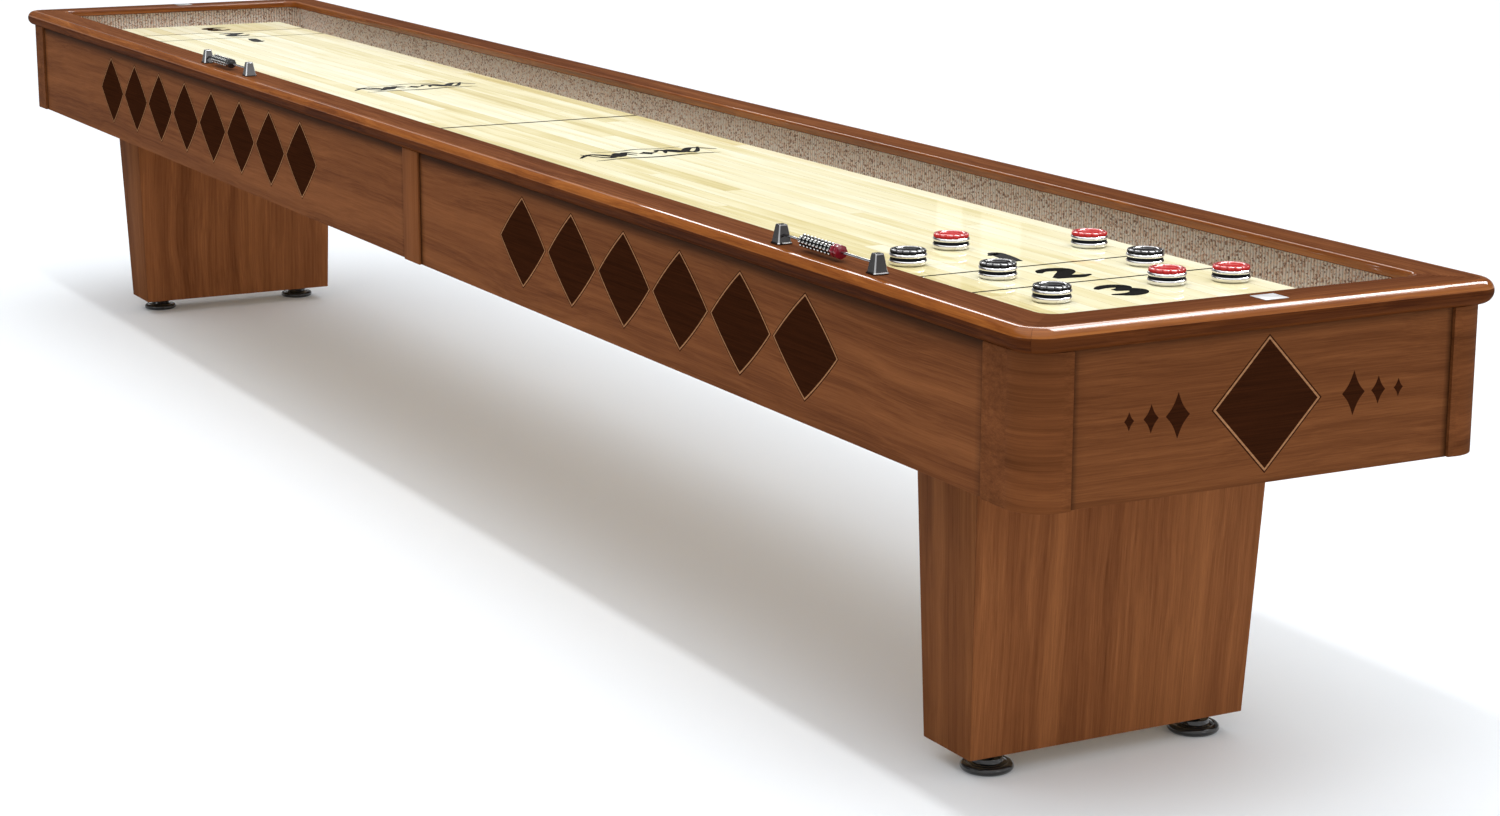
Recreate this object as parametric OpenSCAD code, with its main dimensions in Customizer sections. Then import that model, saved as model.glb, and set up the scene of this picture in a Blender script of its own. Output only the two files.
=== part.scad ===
// Sixteen-foot shuffleboard table: two-section cabinet, carpeted gutter,
// maple playfield, pedestal legs, bead scorers and eight weights.
// +X runs along the table towards the near end, -Y is the front, +Z is up,
// and the origin is on the floor under the middle of the table.

/* [Overall] */
// Length over the top rails
table_len = 4877; // [4800:1:5000]
// Width over the top rails
table_wid = 813; // [800:1:830]
// Height of the top of the rails
rail_top = 762; // [755:1:775]

/* [Top rail] */
// Width of the rail seen from above
rail_w = 78; // [70:1:82]
// Radius of the rounded outer edge
nose_r = 18; // [16:1:19]
// Thickness of the lip over the gutter
lip_t = 16; // [12:1:18]
// Outer corner radius of the rail in plan
rail_corner_r = 45; // [40:1:60]
// Inner corner radius of the rail in plan
rail_inner_r = 28; // [20:1:45]

/* [Cabinet] */
// Thickness of the side and end panels
panel_t = 25; // [20:1:28]
// Underside of the cabinet above the floor
apron_bottom = 508; // [500:1:515]
// How far the corner blocks and stiles stand proud of the panels
proud = 5; // [3:1:6]
// Corner block length along the side
block_side = 115; // [100:1:130]
// Corner block length along the end
block_end = 70; // [70:1:90]
// Outer corner radius of the panels' plane
cabinet_r = 48; // [40:1:60]
// Place of the joint between the two cabinet sections
joint_x = 276; // [200:1:350]
// Width of the stile over that joint
stile_w = 76; // [60:1:90]
// Thickness of the gutter floor boards
floor_t = 18; // [12:1:18]
// Top of the gutter floor boards
floor_top = 608; // [600:1:610]
// Thickness of the gutter carpet with its backing
carpet_t = 5; // [4:1:6]

/* [Playfield] */
// Length of the playfield
field_len = 4402; // [4300:1:4420]
// Width of the playfield
field_wid = 457; // [440:1:470]
// Thickness of the playfield
field_t = 76; // [70:1:76]
// Height of the playing surface
field_top = 723; // [723:1:725]

/* [Legs] */
// Underside of the leg panels above the floor
leg_bottom = 34; // [32:1:40]
// Outer face of a leg at its underside, from the middle of the table
leg_out_bottom = 2073; // [2070:1:2080]
// Outer face of a leg at its top
leg_out_top = 2103; // [2095:1:2110]
// Inner face of a leg at its underside
leg_in_bottom = 1943; // [1935:1:1945]
// Inner face of a leg at its top
leg_in_top = 1931; // [1925:1:1933]
// Half width of a leg at its underside
leg_half_bottom = 249; // [247:1:256]
// Half width of a leg at its top
leg_half_top = 263; // [260:1:268]
// Thickness of the leg panels
leg_t = 18; // [15:1:18]

/* [Levelling feet] */
// Distance of the feet from the middle of the table, along X
foot_x = 2029; // [2000:1:2035]
// Distance of the feet from the centre line, along Y
foot_y = 190; // [170:1:200]
// Diameter of the foot disc
foot_d = 82; // [76:1:84]
// Diameter of the threaded stem
stem_d = 12; // [10:1:12]

/* [Scorers] */
// Height of the scorer posts
post_h = 30; // [26:1:32]
// Width of a post at its base
post_base = 26; // [22:1:28]
// Width of a post at its top
post_tip = 13; // [10:1:16]
// Distance between the two posts of a scorer
post_gap = 284; // [260:1:320]
// Outer diameter of a bead
bead_d = 22; // [20:1:25]
// Pitch of the beads along the rod
bead_pitch = 10.6; // [9:0.1:11]
// Diameter of the scorer rod
rod_d = 4; // [3:0.5:5]

/* [Weights] */
// Diameter of a weight
weight_d = 58.7; // [56:0.1:58.7]
// Height of the steel part of a weight
weight_h = 19; // [17:1:20]
// Height of the cap above the steel
cap_h = 5.5; // [4:0.5:6]

/* [Hidden] */
$fn = 96;
eps = 1;                            // overshoot of cutting tools
half_len = table_len / 2;
half_wid = table_wid / 2;
panel_x = half_len - nose_r;        // outer face of the end panels
panel_y = half_wid - nose_r;        // outer face of the side panels
inner_x = panel_x - panel_t;        // inner face of the end panels
inner_y = panel_y - panel_t;        // inner face of the side panels
inner_r = cabinet_r - panel_t;      // corner radius inside the cabinet
lip_bottom = rail_top - lip_t;
nose_bottom = rail_top - 2 * nose_r;
floor_bottom = floor_top - floor_t;
field_bottom = field_top - field_t;
block_x = panel_x + proud - block_side;   // where the blocks meet the side panels
block_y = panel_y + proud - block_end;    // where the blocks meet the end panels
clear = 0.3;                        // gap between parts that move past each other
running = 0.05;                     // radial clearance of shafts in their bores
bolt_d = 10;
bolt_room = 0.4;                    // extra diameter of a bolt hole
field_gap = 1;                      // between the playfield and the carpet

// Cross members under the gutter floor
member_w = 38;
member_bottom = 520;
leg_top = member_bottom;
cleat = 38;                         // top cleats inside the legs
leg_bolt_x = [leg_inner(leg_top - cleat) + leg_t + cleat / 2, leg_outer(leg_top - cleat) - leg_t - cleat / 2];
member_x = [-leg_bolt_x[1], -leg_bolt_x[0], -1330, -560, joint_x - member_w / 2, joint_x + member_w / 2,
            1000, leg_bolt_x[0], leg_bolt_x[1]];
joint_bolt_y = 200;
joint_bolt_z = 555;
leg_bolt_y = 150;
leg_bolt_len = 84;
hole_room = 2;                      // depth of a hole past its bolt

// Runners and adjusters between the floor and the playfield
runner_w = 38;
runner_y = 100;
runner_end = 2150;
adjuster_x = [-1500, 0, 1500];
adjuster_y = 175;
adjuster_z = 628;
adjuster_rod_d = 12;
adjuster_rod_len = 412;
rod_passage_d = 18;                 // hole for the rod through a runner
lug_t = 12;
lug_w = 30;
lug_below = 12;                     // lug under the rod's centre

// Scorers: place of the first post of each, and the rod's height
scorer_x = [1706, -1005];
scorer_y = -(half_wid - rail_w / 2);
rod_z = rail_top + post_h / 2;
bead_start = [66, 52];              // first bead of each from its first post
silver_count = 9;
colour_count = 2;

// Weights on the playfield, where play has left them
red_xy = [[1669, -43], [1754, 160], [2073, 79], [2097, 178]];
black_xy = [[1760, -177], [1917, -116], [2107, -147], [1927, 144]];
weight_z = field_top + clear;
cap_d = 56;
spigot_d = 30;
spigot_len = 6;

wood = "#8a4f2a";
rail_wood = "#7a3f1f";
maple = "#ecdca8";
plain_wood = "#c9a877";
carpet = "#9c8674";
steel = "#b9bcc0";
black_finish = "#17171a";
red_finish = "#b3202c";

// Box from its lowest to its highest corner
module span_box(lo, hi) {
    translate(lo) cube(hi - lo);
}

// Rectangle with round corners, centred on the origin
module round_rect(hx, hy, r) {
    square([2 * (hx - r), 2 * hy], center = true);
    square([2 * hx, 2 * (hy - r)], center = true);
    for (sx = [-1, 1], sy = [-1, 1])
        translate([sx * (hx - r), sy * (hy - r)]) circle(r);
}

// Plan area of one side of the table between its two mitres
module mitre_plan(side) {
    margin = 20;
    x = half_len + margin;
    y = half_wid + margin;
    if (side == "front" || side == "back")
        mirror([0, side == "back" ? 1 : 0])
            polygon([[-x, -y], [x, -y], [x - y, 0], [y - x, 0]]);
    else
        mirror([side == "far" ? 1 : 0, 0])
            polygon([[x, -y], [x, y], [x - y, 0]]);
}

// ---------- Cabinet ----------

module side_panel(x0, x1, side) {
    color(wood)
        mirror([0, side == "back" ? 1 : 0, 0])
            span_box([x0, -panel_y, apron_bottom], [x1, -inner_y, lip_bottom]);
}

module end_panel(side) {
    color(wood)
        mirror([side == "far" ? 1 : 0, 0, 0])
            span_box([inner_x, -block_y, apron_bottom], [panel_x, block_y, lip_bottom]);
}

// Round-cornered post whose proud face stops under the rail's rounded edge
module corner_block(far, back) {
    color(wood)
        mirror([far ? 1 : 0, 0, 0]) mirror([0, back ? 0 : 1, 0])
            intersection() {
                span_box([block_x, block_y, 0], [half_len, half_wid, rail_top]);
                difference() {
                    union() {
                        translate([0, 0, apron_bottom])
                            linear_extrude(lip_bottom - apron_bottom)
                                round_rect(panel_x, panel_y, cabinet_r);
                        translate([0, 0, apron_bottom])
                            linear_extrude(nose_bottom - apron_bottom)
                                round_rect(panel_x + proud, panel_y + proud, cabinet_r + proud);
                    }
                    linear_extrude(rail_top) round_rect(inner_x, inner_y, inner_r);
                }
            }
}

module center_stile(back) {
    color(wood)
        mirror([0, back ? 1 : 0, 0])
            span_box([joint_x - stile_w / 2, -panel_y - proud, apron_bottom],
                     [joint_x + stile_w / 2, -panel_y, nose_bottom]);
}

// Half-round outer edge of the whole rail ring
module rail_nose() {
    straight_x = half_len - rail_corner_r;
    straight_y = half_wid - rail_corner_r;
    bend_r = rail_corner_r - nose_r;
    for (s = [-1, 1]) {
        intersection() {
            translate([-straight_x, s * panel_y, rail_top - nose_r])
                rotate([0, 90, 0]) cylinder(r = nose_r, h = 2 * straight_x);
            translate([-half_len, s > 0 ? panel_y : -half_wid - eps, 0])
                cube([table_len, nose_r + eps, rail_top + eps]);
        }
        intersection() {
            translate([s * panel_x, straight_y, rail_top - nose_r])
                rotate([90, 0, 0]) cylinder(r = nose_r, h = 2 * straight_y);
            translate([s > 0 ? panel_x : -half_len - eps, -half_wid, 0])
                cube([nose_r + eps, table_wid, rail_top + eps]);
        }
    }
    for (sx = [-1, 1], sy = [-1, 1])
        translate([sx * straight_x, sy * straight_y, rail_top - nose_r])
            mirror([sx < 0 ? 1 : 0, 0, 0]) mirror([0, sy < 0 ? 1 : 0, 0])
                rotate_extrude(angle = 90)
                    intersection() {
                        translate([bend_r, 0]) circle(nose_r);
                        translate([bend_r, -nose_r]) square([nose_r + eps, 2 * nose_r]);
                    }
}

// Flat board of the rail ring, over the panels and the edge of the gutter
module rail_board() {
    translate([0, 0, lip_bottom])
        linear_extrude(lip_t)
            difference() {
                round_rect(panel_x, panel_y, rail_corner_r - nose_r);
                round_rect(half_len - rail_w, half_wid - rail_w, rail_inner_r);
            }
}

module rail(side) {
    color(rail_wood)
        intersection() {
            union() {
                rail_nose();
                rail_board();
            }
            linear_extrude(rail_top + eps) mitre_plan(side);
        }
}

module gutter_floor() {
    color(plain_wood)
        translate([0, 0, floor_bottom])
            for (part = [[-half_len, joint_x], [joint_x, half_len]])
                linear_extrude(floor_t)
                    intersection() {
                        round_rect(inner_x, inner_y, inner_r);
                        translate([part[0], -half_wid]) square([part[1] - part[0], table_wid]);
                    }
}

// Carpet on the wall and the floor of one gutter
module gutter_carpet(side) {
    color(carpet)
        intersection() {
            translate([0, 0, floor_top])
                difference() {
                    linear_extrude(lip_bottom - floor_top) round_rect(inner_x, inner_y, inner_r);
                    translate([0, 0, carpet_t])
                        linear_extrude(rail_top)
                            round_rect(inner_x - carpet_t, inner_y - carpet_t, inner_r - carpet_t);
                    translate([0, 0, -eps])
                        linear_extrude(rail_top)
                            square([field_len + 2 * field_gap, field_wid + 2 * field_gap], center = true);
                }
            linear_extrude(rail_top) mitre_plan(side);
        }
}

module playfield() {
    color(maple)
        span_box([-field_len / 2, -field_wid / 2, field_bottom], [field_len / 2, field_wid / 2, field_top]);
}

// ---------- Structure under the playfield ----------

module cradle_runners() {
    color(plain_wood)
        difference() {
            for (s = [-1, 1], part = [[-runner_end, joint_x - eps], [joint_x + eps, runner_end]])
                span_box([part[0], s * runner_y - runner_w / 2, floor_top],
                         [part[1], s * runner_y + runner_w / 2, field_bottom]);
            for (x = adjuster_x)
                translate([x, half_wid, adjuster_z]) rotate([90, 0, 0])
                    cylinder(d = rod_passage_d, h = table_wid);
        }
}

module cross_members() {
    color(plain_wood)
        difference() {
            for (x = member_x)
                span_box([x - member_w / 2, -inner_y, member_bottom], [x + member_w / 2, inner_y, floor_bottom]);
            for (s = [-1, 1], x = leg_bolt_x, y = [-leg_bolt_y, leg_bolt_y])
                translate([s * x, y, member_bottom - eps])
                    cylinder(d = bolt_d + bolt_room, h = leg_bolt_len - member_w + eps + hole_room);
            for (y = [-joint_bolt_y, joint_bolt_y])
                translate([joint_x - member_w - eps, y, joint_bolt_z]) rotate([0, 90, 0])
                    cylinder(d = bolt_d + bolt_room, h = 2 * member_w + 2 * eps);
        }
}

// Leg bolts with round heads, and the through bolts that join the sections
module cabinet_bolts() {
    head_t = 6;
    head_d = 20;
    nut_d = 19;
    color(steel) {
        for (s = [-1, 1], x = leg_bolt_x, y = [-leg_bolt_y, leg_bolt_y])
            translate([s * x, y, member_bottom - member_w]) {
                cylinder(d = bolt_d, h = leg_bolt_len);
                translate([0, 0, -head_t]) cylinder(d = head_d, h = head_t);
            }
        for (y = [-joint_bolt_y, joint_bolt_y])
            translate([joint_x - member_w, y, joint_bolt_z]) rotate([0, 90, 0]) {
                cylinder(d = bolt_d, h = 2 * member_w + head_t);
                translate([0, 0, -head_t]) cylinder(d = head_d, h = head_t);
                translate([0, 0, 2 * member_w]) cylinder(d = nut_d, h = head_t, $fn = 6);
            }
    }
}

// Plate on the underside of the playfield with a lug for the rod
module adjuster_brackets() {
    plate = [70, 40, 6];
    color(steel)
        for (x = adjuster_x, s = [-1, 1])
            translate([x, s * adjuster_y, field_bottom])
                difference() {
                    union() {
                        translate([-plate[0] / 2, -plate[1] / 2, -plate[2]]) cube(plate);
                        translate([-lug_w / 2, -lug_t / 2, adjuster_z - lug_below - field_bottom])
                            cube([lug_w, lug_t, field_bottom - adjuster_z + lug_below]);
                    }
                    translate([0, lug_t, adjuster_z - field_bottom]) rotate([90, 0, 0])
                        cylinder(d = adjuster_rod_d + bolt_room, h = 2 * lug_t);
                }
}

// Threaded rods with a nut outside each lug
module adjuster_rods() {
    nut_t = 10;
    nut_d = 22;
    nut_gap = 0.2;
    color(steel)
        for (x = adjuster_x) {
            translate([x, adjuster_rod_len / 2, adjuster_z]) rotate([90, 0, 0])
                cylinder(d = adjuster_rod_d, h = adjuster_rod_len);
            for (s = [-1, 1])
                translate([x, s * (adjuster_y + lug_t / 2 + nut_t / 2 + nut_gap), adjuster_z]) rotate([90, 0, 0])
                    difference() {
                        cylinder(d = nut_d, h = nut_t, center = true, $fn = 6);
                        cylinder(d = adjuster_rod_d + 2 * running, h = nut_t + 2 * eps, center = true);
                    }
        }
}

// ---------- Legs ----------

function blend(a, b, z) = a + (b - a) * (z - leg_bottom) / (leg_top - leg_bottom);
function leg_outer(z) = blend(leg_out_bottom, leg_out_top, z);
function leg_inner(z) = blend(leg_in_bottom, leg_in_top, z);
function leg_half(z) = blend(leg_half_bottom, leg_half_top, z);

// Corner of the leg at height z, moved inwards by t; c is [+-1 for X, +-1 for Y]
function leg_corner(c, t, z) = [
    c[0] > 0 ? leg_outer(z) - t : leg_inner(z) + t,
    c[1] * (leg_half(z) - t),
    z
];

// Mitred panel of the near leg between two corners, in anticlockwise order
module leg_panel(p, q) {
    polyhedron(
        points = [for (z = [leg_bottom, leg_top])
                  each [leg_corner(p, 0, z), leg_corner(q, 0, z), leg_corner(q, leg_t, z), leg_corner(p, leg_t, z)]],
        faces = [[0, 1, 2, 3], [4, 5, 1, 0], [7, 6, 5, 4], [5, 6, 2, 1], [6, 7, 3, 2], [7, 4, 0, 3]]);
}

module leg_outer_panel(far) {
    color(wood) mirror([far ? 1 : 0, 0, 0]) leg_panel([1, -1], [1, 1]);
}

module leg_inner_panel(far) {
    color(wood) mirror([far ? 1 : 0, 0, 0]) leg_panel([-1, 1], [-1, -1]);
}

module leg_side_panels(far) {
    color(wood) mirror([far ? 1 : 0, 0, 0]) {
        leg_panel([1, 1], [-1, 1]);
        leg_panel([-1, -1], [1, -1]);
    }
}

// Base board with the feet's bores, and two top cleats, in each leg
module leg_frames() {
    base_t = 18;
    cleat_half = 225;
    color(plain_wood)
        for (s = [0, 1])
            mirror([s, 0, 0]) {
                difference() {
                    span_box([leg_in_bottom + leg_t, -leg_half_bottom + leg_t, leg_bottom],
                             [leg_out_bottom - leg_t, leg_half_bottom - leg_t, leg_bottom + base_t]);
                    for (y = [-foot_y, foot_y])
                        translate([foot_x, y, leg_bottom - eps])
                            cylinder(d = stem_d + 2 * running, h = base_t + 2 * eps);
                }
                difference() {
                    for (x = leg_bolt_x)
                        span_box([x - cleat / 2, -cleat_half, leg_top - cleat],
                                 [x + cleat / 2, cleat_half, leg_top]);
                    for (x = leg_bolt_x, y = [-leg_bolt_y, leg_bolt_y])
                        translate([x, y, leg_top - cleat - eps])
                            cylinder(d = bolt_d + bolt_room, h = cleat + 2 * eps);
                }
            }
}

// Thick disc with a collar, and a stem with a lock nut under the base board
module leveling_foot(sx, sy) {
    rim_r = 6.5;
    collar_r = 24;
    collar_low = 14.5;
    collar_top = 21;
    collar_edge = 1.5;
    nut_t = 8;
    nut_d = 24;
    stem_top = 85;
    disc_r = foot_d / 2 - rim_r;
    color(black_finish)
        translate([sx * foot_x, sy * foot_y, 0]) {
            rotate_extrude() {
                translate([disc_r, rim_r]) circle(rim_r);
                polygon([[0, 0], [disc_r, 0], [disc_r, 2 * rim_r], [collar_r, collar_low],
                         [collar_r, collar_top - collar_edge], [collar_r - collar_edge, collar_top], [0, collar_top]]);
            }
            cylinder(d = stem_d, h = stem_top);
            translate([0, 0, leg_bottom - clear - nut_t])
                difference() {
                    cylinder(d = nut_d, h = nut_t, $fn = 6);
                    translate([0, 0, -eps]) cylinder(d = stem_d + 2 * running, h = nut_t + 2 * eps);
                }
        }
}

// ---------- Scorers ----------

// Square post that narrows to its top, bored for the rod, with a recess in its top
module scorer_post() {
    recess = 3;
    half = post_base / 2;
    tip = post_tip / 2;
    edge = 2;                       // upright edge under the slopes
    outline = [[-half, 0], [half, 0], [half, edge], [tip, post_h], [-tip, post_h], [-half, edge]];
    difference() {
        intersection() {
            rotate([90, 0, 0]) linear_extrude(post_base, center = true) polygon(outline);
            rotate([90, 0, 90]) linear_extrude(post_base, center = true) polygon(outline);
        }
        translate([-post_base, 0, rod_z - rail_top]) rotate([0, 90, 0])
            cylinder(d = rod_d + 2 * running, h = 2 * post_base);
        translate([0, 0, post_h - recess]) cylinder(d = post_tip / 2, h = recess + eps);
    }
}

module scorer_posts() {
    color(steel)
        for (x = scorer_x, step = [0, post_gap])
            translate([x + step, scorer_y, rail_top]) scorer_post();
}

module scorer_rods() {
    overhang = 6;
    color(steel)
        for (x = scorer_x)
            translate([x - overhang, scorer_y, rod_z]) rotate([0, 90, 0])
                cylinder(d = rod_d, h = post_gap + 2 * overhang);
}

// Fluted bead, its axis along X
module bead() {
    flutes = 8;
    flute_d = 5;
    flute_out = 0.8;                // flute centres outside the bead's edge
    gap = 0.4;
    rotate([0, 90, 0])
        linear_extrude(bead_pitch - gap)
            difference() {
                circle(d = bead_d);
                circle(d = rod_d + 2 * running, $fn = 48);
                for (k = [0 : flutes - 1])
                    rotate(k * 360 / flutes) translate([bead_d / 2 + flute_out, 0]) circle(d = flute_d, $fn = 24);
            }
}

module beads(scorer, first, count, tint) {
    color(tint)
        for (k = [first : first + count - 1])
            translate([scorer_x[scorer] + bead_start[scorer] + k * bead_pitch, scorer_y, rod_z]) bead();
}

// ---------- Weights ----------

// Steel body with a turned waist and a socket for the cap
module weight(xy) {
    r = weight_d / 2;
    round_r = 3;
    waist = 1.6;
    waist_h = 3.4;
    waist_z = 0.44 * weight_h;
    color(steel)
        translate([xy[0], xy[1], weight_z])
            rotate_extrude()
                difference() {
                    union() {
                        square([r - round_r, weight_h]);
                        translate([0, round_r]) square([r, weight_h - 2 * round_r]);
                        for (z = [round_r, weight_h - round_r])
                            translate([r - round_r, z]) circle(round_r, $fn = 48);
                    }
                    translate([r - waist, waist_z]) square([waist + eps, waist_h]);
                    translate([0, weight_h - spigot_len]) square([spigot_d / 2, spigot_len + eps]);
                    translate([-r, -eps]) square([r, weight_h + 2 * eps]);
                }
}

// Plastic cap with a fluted rim, a dished top and a spigot in the socket
module cap(xy, tint) {
    flutes = 16;
    flute_d = 4;
    flute_out = 0.6;                // flute centres outside the cap's edge
    rim = 8;
    dish = 1.5;
    seat_gap = 0.2;
    color(tint)
        translate([xy[0], xy[1], weight_z + weight_h])
            difference() {
                union() {
                    cylinder(d = cap_d, h = cap_h);
                    translate([0, 0, -spigot_len + seat_gap])
                        cylinder(d = spigot_d - 4 * running, h = spigot_len);
                }
                translate([0, 0, cap_h - dish]) cylinder(d = cap_d - 2 * rim, h = dish + eps);
                for (k = [0 : flutes - 1])
                    rotate(k * 360 / flutes) translate([cap_d / 2 + flute_out, 0, -eps])
                        cylinder(d = flute_d, h = cap_h + 2 * eps, $fn = 24);
            }
}

side_panel(joint_x, block_x, "front");  // side_panel_front_near
side_panel(-block_x, joint_x, "front");  // side_panel_front_far
side_panel(joint_x, block_x, "back");  // side_panel_back_near
side_panel(-block_x, joint_x, "back");  // side_panel_back_far
end_panel("near");  // end_panel_near
end_panel("far");  // end_panel_far
corner_block(false, false);  // corner_block_front_near
corner_block(true, false);  // corner_block_front_far
corner_block(false, true);  // corner_block_back_near
corner_block(true, true);  // corner_block_back_far
center_stile(false);  // center_stile_front
center_stile(true);  // center_stile_back
rail("front");  // rail_front
rail("back");  // rail_back
rail("near");  // rail_end_near
rail("far");  // rail_end_far
gutter_floor();
playfield();
cradle_runners();
cross_members();
cabinet_bolts();
adjuster_brackets();
adjuster_rods();
gutter_carpet("front");  // gutter_carpet_front
gutter_carpet("back");  // gutter_carpet_back
gutter_carpet("near");  // gutter_carpet_near
gutter_carpet("far");  // gutter_carpet_far
leg_outer_panel(false);  // leg_near_outer_panel
leg_inner_panel(false);  // leg_near_inner_panel
leg_side_panels(false);  // leg_near_side_panels
leg_outer_panel(true);  // leg_far_outer_panel
leg_inner_panel(true);  // leg_far_inner_panel
leg_side_panels(true);  // leg_far_side_panels
leg_frames();
leveling_foot(1, -1);  // leveling_foot_front_near
leveling_foot(-1, -1);  // leveling_foot_front_far
leveling_foot(1, 1);  // leveling_foot_back_near
leveling_foot(-1, 1);  // leveling_foot_back_far
scorer_posts();
scorer_rods();
beads(0, 0, silver_count, steel);  // silver_beads_near
beads(0, silver_count, colour_count, red_finish);  // red_beads_near
beads(1, 0, silver_count, steel);  // silver_beads_far
beads(1, silver_count, colour_count, black_finish);  // black_beads_far
weight(red_xy[0]);  // weight_red_1
weight(red_xy[1]);  // weight_red_2
weight(red_xy[2]);  // weight_red_3
weight(red_xy[3]);  // weight_red_4
weight(black_xy[0]);  // weight_black_1
weight(black_xy[1]);  // weight_black_2
weight(black_xy[2]);  // weight_black_3
weight(black_xy[3]);  // weight_black_4
cap(red_xy[0], red_finish);  // cap_red_1
cap(red_xy[1], red_finish);  // cap_red_2
cap(red_xy[2], red_finish);  // cap_red_3
cap(red_xy[3], red_finish);  // cap_red_4
cap(black_xy[0], black_finish);  // cap_black_1
cap(black_xy[1], black_finish);  // cap_black_2
cap(black_xy[2], black_finish);  // cap_black_3
cap(black_xy[3], black_finish);  // cap_black_4
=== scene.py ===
"""Sixteen-foot shuffleboard table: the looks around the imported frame.

Metres, +X along the table towards the near end, -Y is the front, +Z is up.
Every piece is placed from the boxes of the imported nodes.
"""

import math
import random

import bmesh
import bpy
import numpy as np
from mathutils import Matrix, Vector


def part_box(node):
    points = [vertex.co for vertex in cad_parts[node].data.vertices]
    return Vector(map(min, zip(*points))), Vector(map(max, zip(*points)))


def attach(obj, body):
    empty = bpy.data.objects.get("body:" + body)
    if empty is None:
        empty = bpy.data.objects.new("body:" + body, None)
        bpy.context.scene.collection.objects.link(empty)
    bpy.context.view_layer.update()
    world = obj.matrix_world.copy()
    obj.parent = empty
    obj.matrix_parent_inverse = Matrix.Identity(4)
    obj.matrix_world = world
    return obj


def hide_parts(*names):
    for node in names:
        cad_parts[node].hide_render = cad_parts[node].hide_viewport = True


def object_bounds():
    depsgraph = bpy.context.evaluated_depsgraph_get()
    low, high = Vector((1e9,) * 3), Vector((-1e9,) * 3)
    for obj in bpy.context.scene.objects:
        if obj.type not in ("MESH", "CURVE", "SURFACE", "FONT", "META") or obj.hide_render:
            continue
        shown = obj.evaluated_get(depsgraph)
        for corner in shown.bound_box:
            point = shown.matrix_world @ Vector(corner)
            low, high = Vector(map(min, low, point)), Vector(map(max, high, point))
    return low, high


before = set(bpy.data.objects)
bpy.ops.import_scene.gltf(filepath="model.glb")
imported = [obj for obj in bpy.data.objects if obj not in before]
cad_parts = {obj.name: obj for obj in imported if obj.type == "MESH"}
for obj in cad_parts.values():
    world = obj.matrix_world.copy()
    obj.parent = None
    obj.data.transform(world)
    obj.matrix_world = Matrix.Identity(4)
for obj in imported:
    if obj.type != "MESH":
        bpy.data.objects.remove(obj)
cad_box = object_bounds()

MM = 0.001
TABLE = "table"
ENDS = {"near": 1, "far": -1}
SIDES = {"back": 1, "front": -1}


# ---------------------------------------------------------------- camera

CAMERA_AT = (5.632, -2.532, 1.540)
CAMERA_YAW = 61.73
CAMERA_PITCH = 12.97
CAMERA_ROLL = 0.14
CAMERA_LENS = 72.32


def make_camera():
    data = bpy.data.cameras.new("camera")
    data.sensor_width = 36.0
    data.lens = CAMERA_LENS
    data.clip_end = 200.0
    camera = bpy.data.objects.new("camera", data)
    bpy.context.scene.collection.objects.link(camera)
    camera.matrix_world = (
        Matrix.Translation(CAMERA_AT)
        @ Matrix.Rotation(math.radians(CAMERA_YAW), 4, "Z")
        @ Matrix.Rotation(math.radians(90 - CAMERA_PITCH), 4, "X")
        @ Matrix.Rotation(math.radians(CAMERA_ROLL), 4, "Z")
    )
    bpy.context.scene.camera = camera


# ---------------------------------------------------------------- shader helpers


def new_material(name):
    mat = bpy.data.materials.new(name)
    mat.use_nodes = True
    mat.node_tree.nodes.clear()
    return mat


def put(owner, kind, inputs=None, **settings):
    """Adds a node to a material or the world. Inputs may be values or sockets."""
    tree = owner.node_tree
    made = tree.nodes.new(kind)
    for key, value in settings.items():
        setattr(made, key, value)
    for key, value in (inputs or {}).items():
        if isinstance(value, bpy.types.NodeSocket):
            tree.links.new(value, made.inputs[key])
        else:
            made.inputs[key].default_value = value
    return made


def weigh(mat, value, share, base=0.0, clamp=False):
    """The value times share, plus base."""
    inputs = {0: value, 1: share, 2: base}
    return put(mat, "ShaderNodeMath", inputs, operation="MULTIPLY_ADD", use_clamp=clamp).outputs[0]


def ramp(mat, fac, stops):
    made = put(mat, "ShaderNodeValToRGB", {"Fac": fac})
    points = made.color_ramp.elements
    while len(points) < len(stops):
        points.new(0.5)
    for point, (place, colour) in zip(points, stops):
        point.position = place
        point.color = (*colour[:3], 1.0)
    return made.outputs["Color"]


def mix(mat, fac, a, b):
    return put(mat, "ShaderNodeMix", {0: fac, 6: a, 7: b}, data_type="RGBA").outputs[2]


def scaled(mat, source, scale):
    return put(mat, "ShaderNodeMapping", {"Vector": source, "Scale": scale}).outputs["Vector"]


def noise(mat, vector, scale, detail=3.0, rough=0.5, distortion=0.0):
    inputs = {"Vector": vector, "Scale": scale, "Detail": detail, "Roughness": rough, "Distortion": distortion}
    return put(mat, "ShaderNodeTexNoise", inputs).outputs["Fac"]


def grainy(mat, grain, along, across, detail=3.0, rough=0.5, distortion=0.0):
    """Noise with one scale along the grain and another across it."""
    return noise(mat, scaled(mat, grain, (along, across, across)), 1.0, detail, rough, distortion)


def bump(mat, height, strength, distance):
    inputs = {"Height": height, "Strength": strength, "Distance": distance}
    return put(mat, "ShaderNodeBump", inputs).outputs["Normal"]


def surface(mat, **inputs):
    """The Principled shader and the output. Names use _ for a space."""
    shader = put(mat, "ShaderNodeBsdfPrincipled", {k.replace("_", " "): v for k, v in inputs.items()})
    put(mat, "ShaderNodeOutputMaterial", {"Surface": shader.outputs["BSDF"]})
    return mat


def rgb(r, g, b):
    """Linear colour from 8-bit sRGB numbers."""
    shares = (value / 255 for value in (r, g, b))
    return (*(v / 12.92 if v <= 0.04045 else ((v + 0.055) / 1.055) ** 2.4 for v in shares), 1.0)


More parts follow.
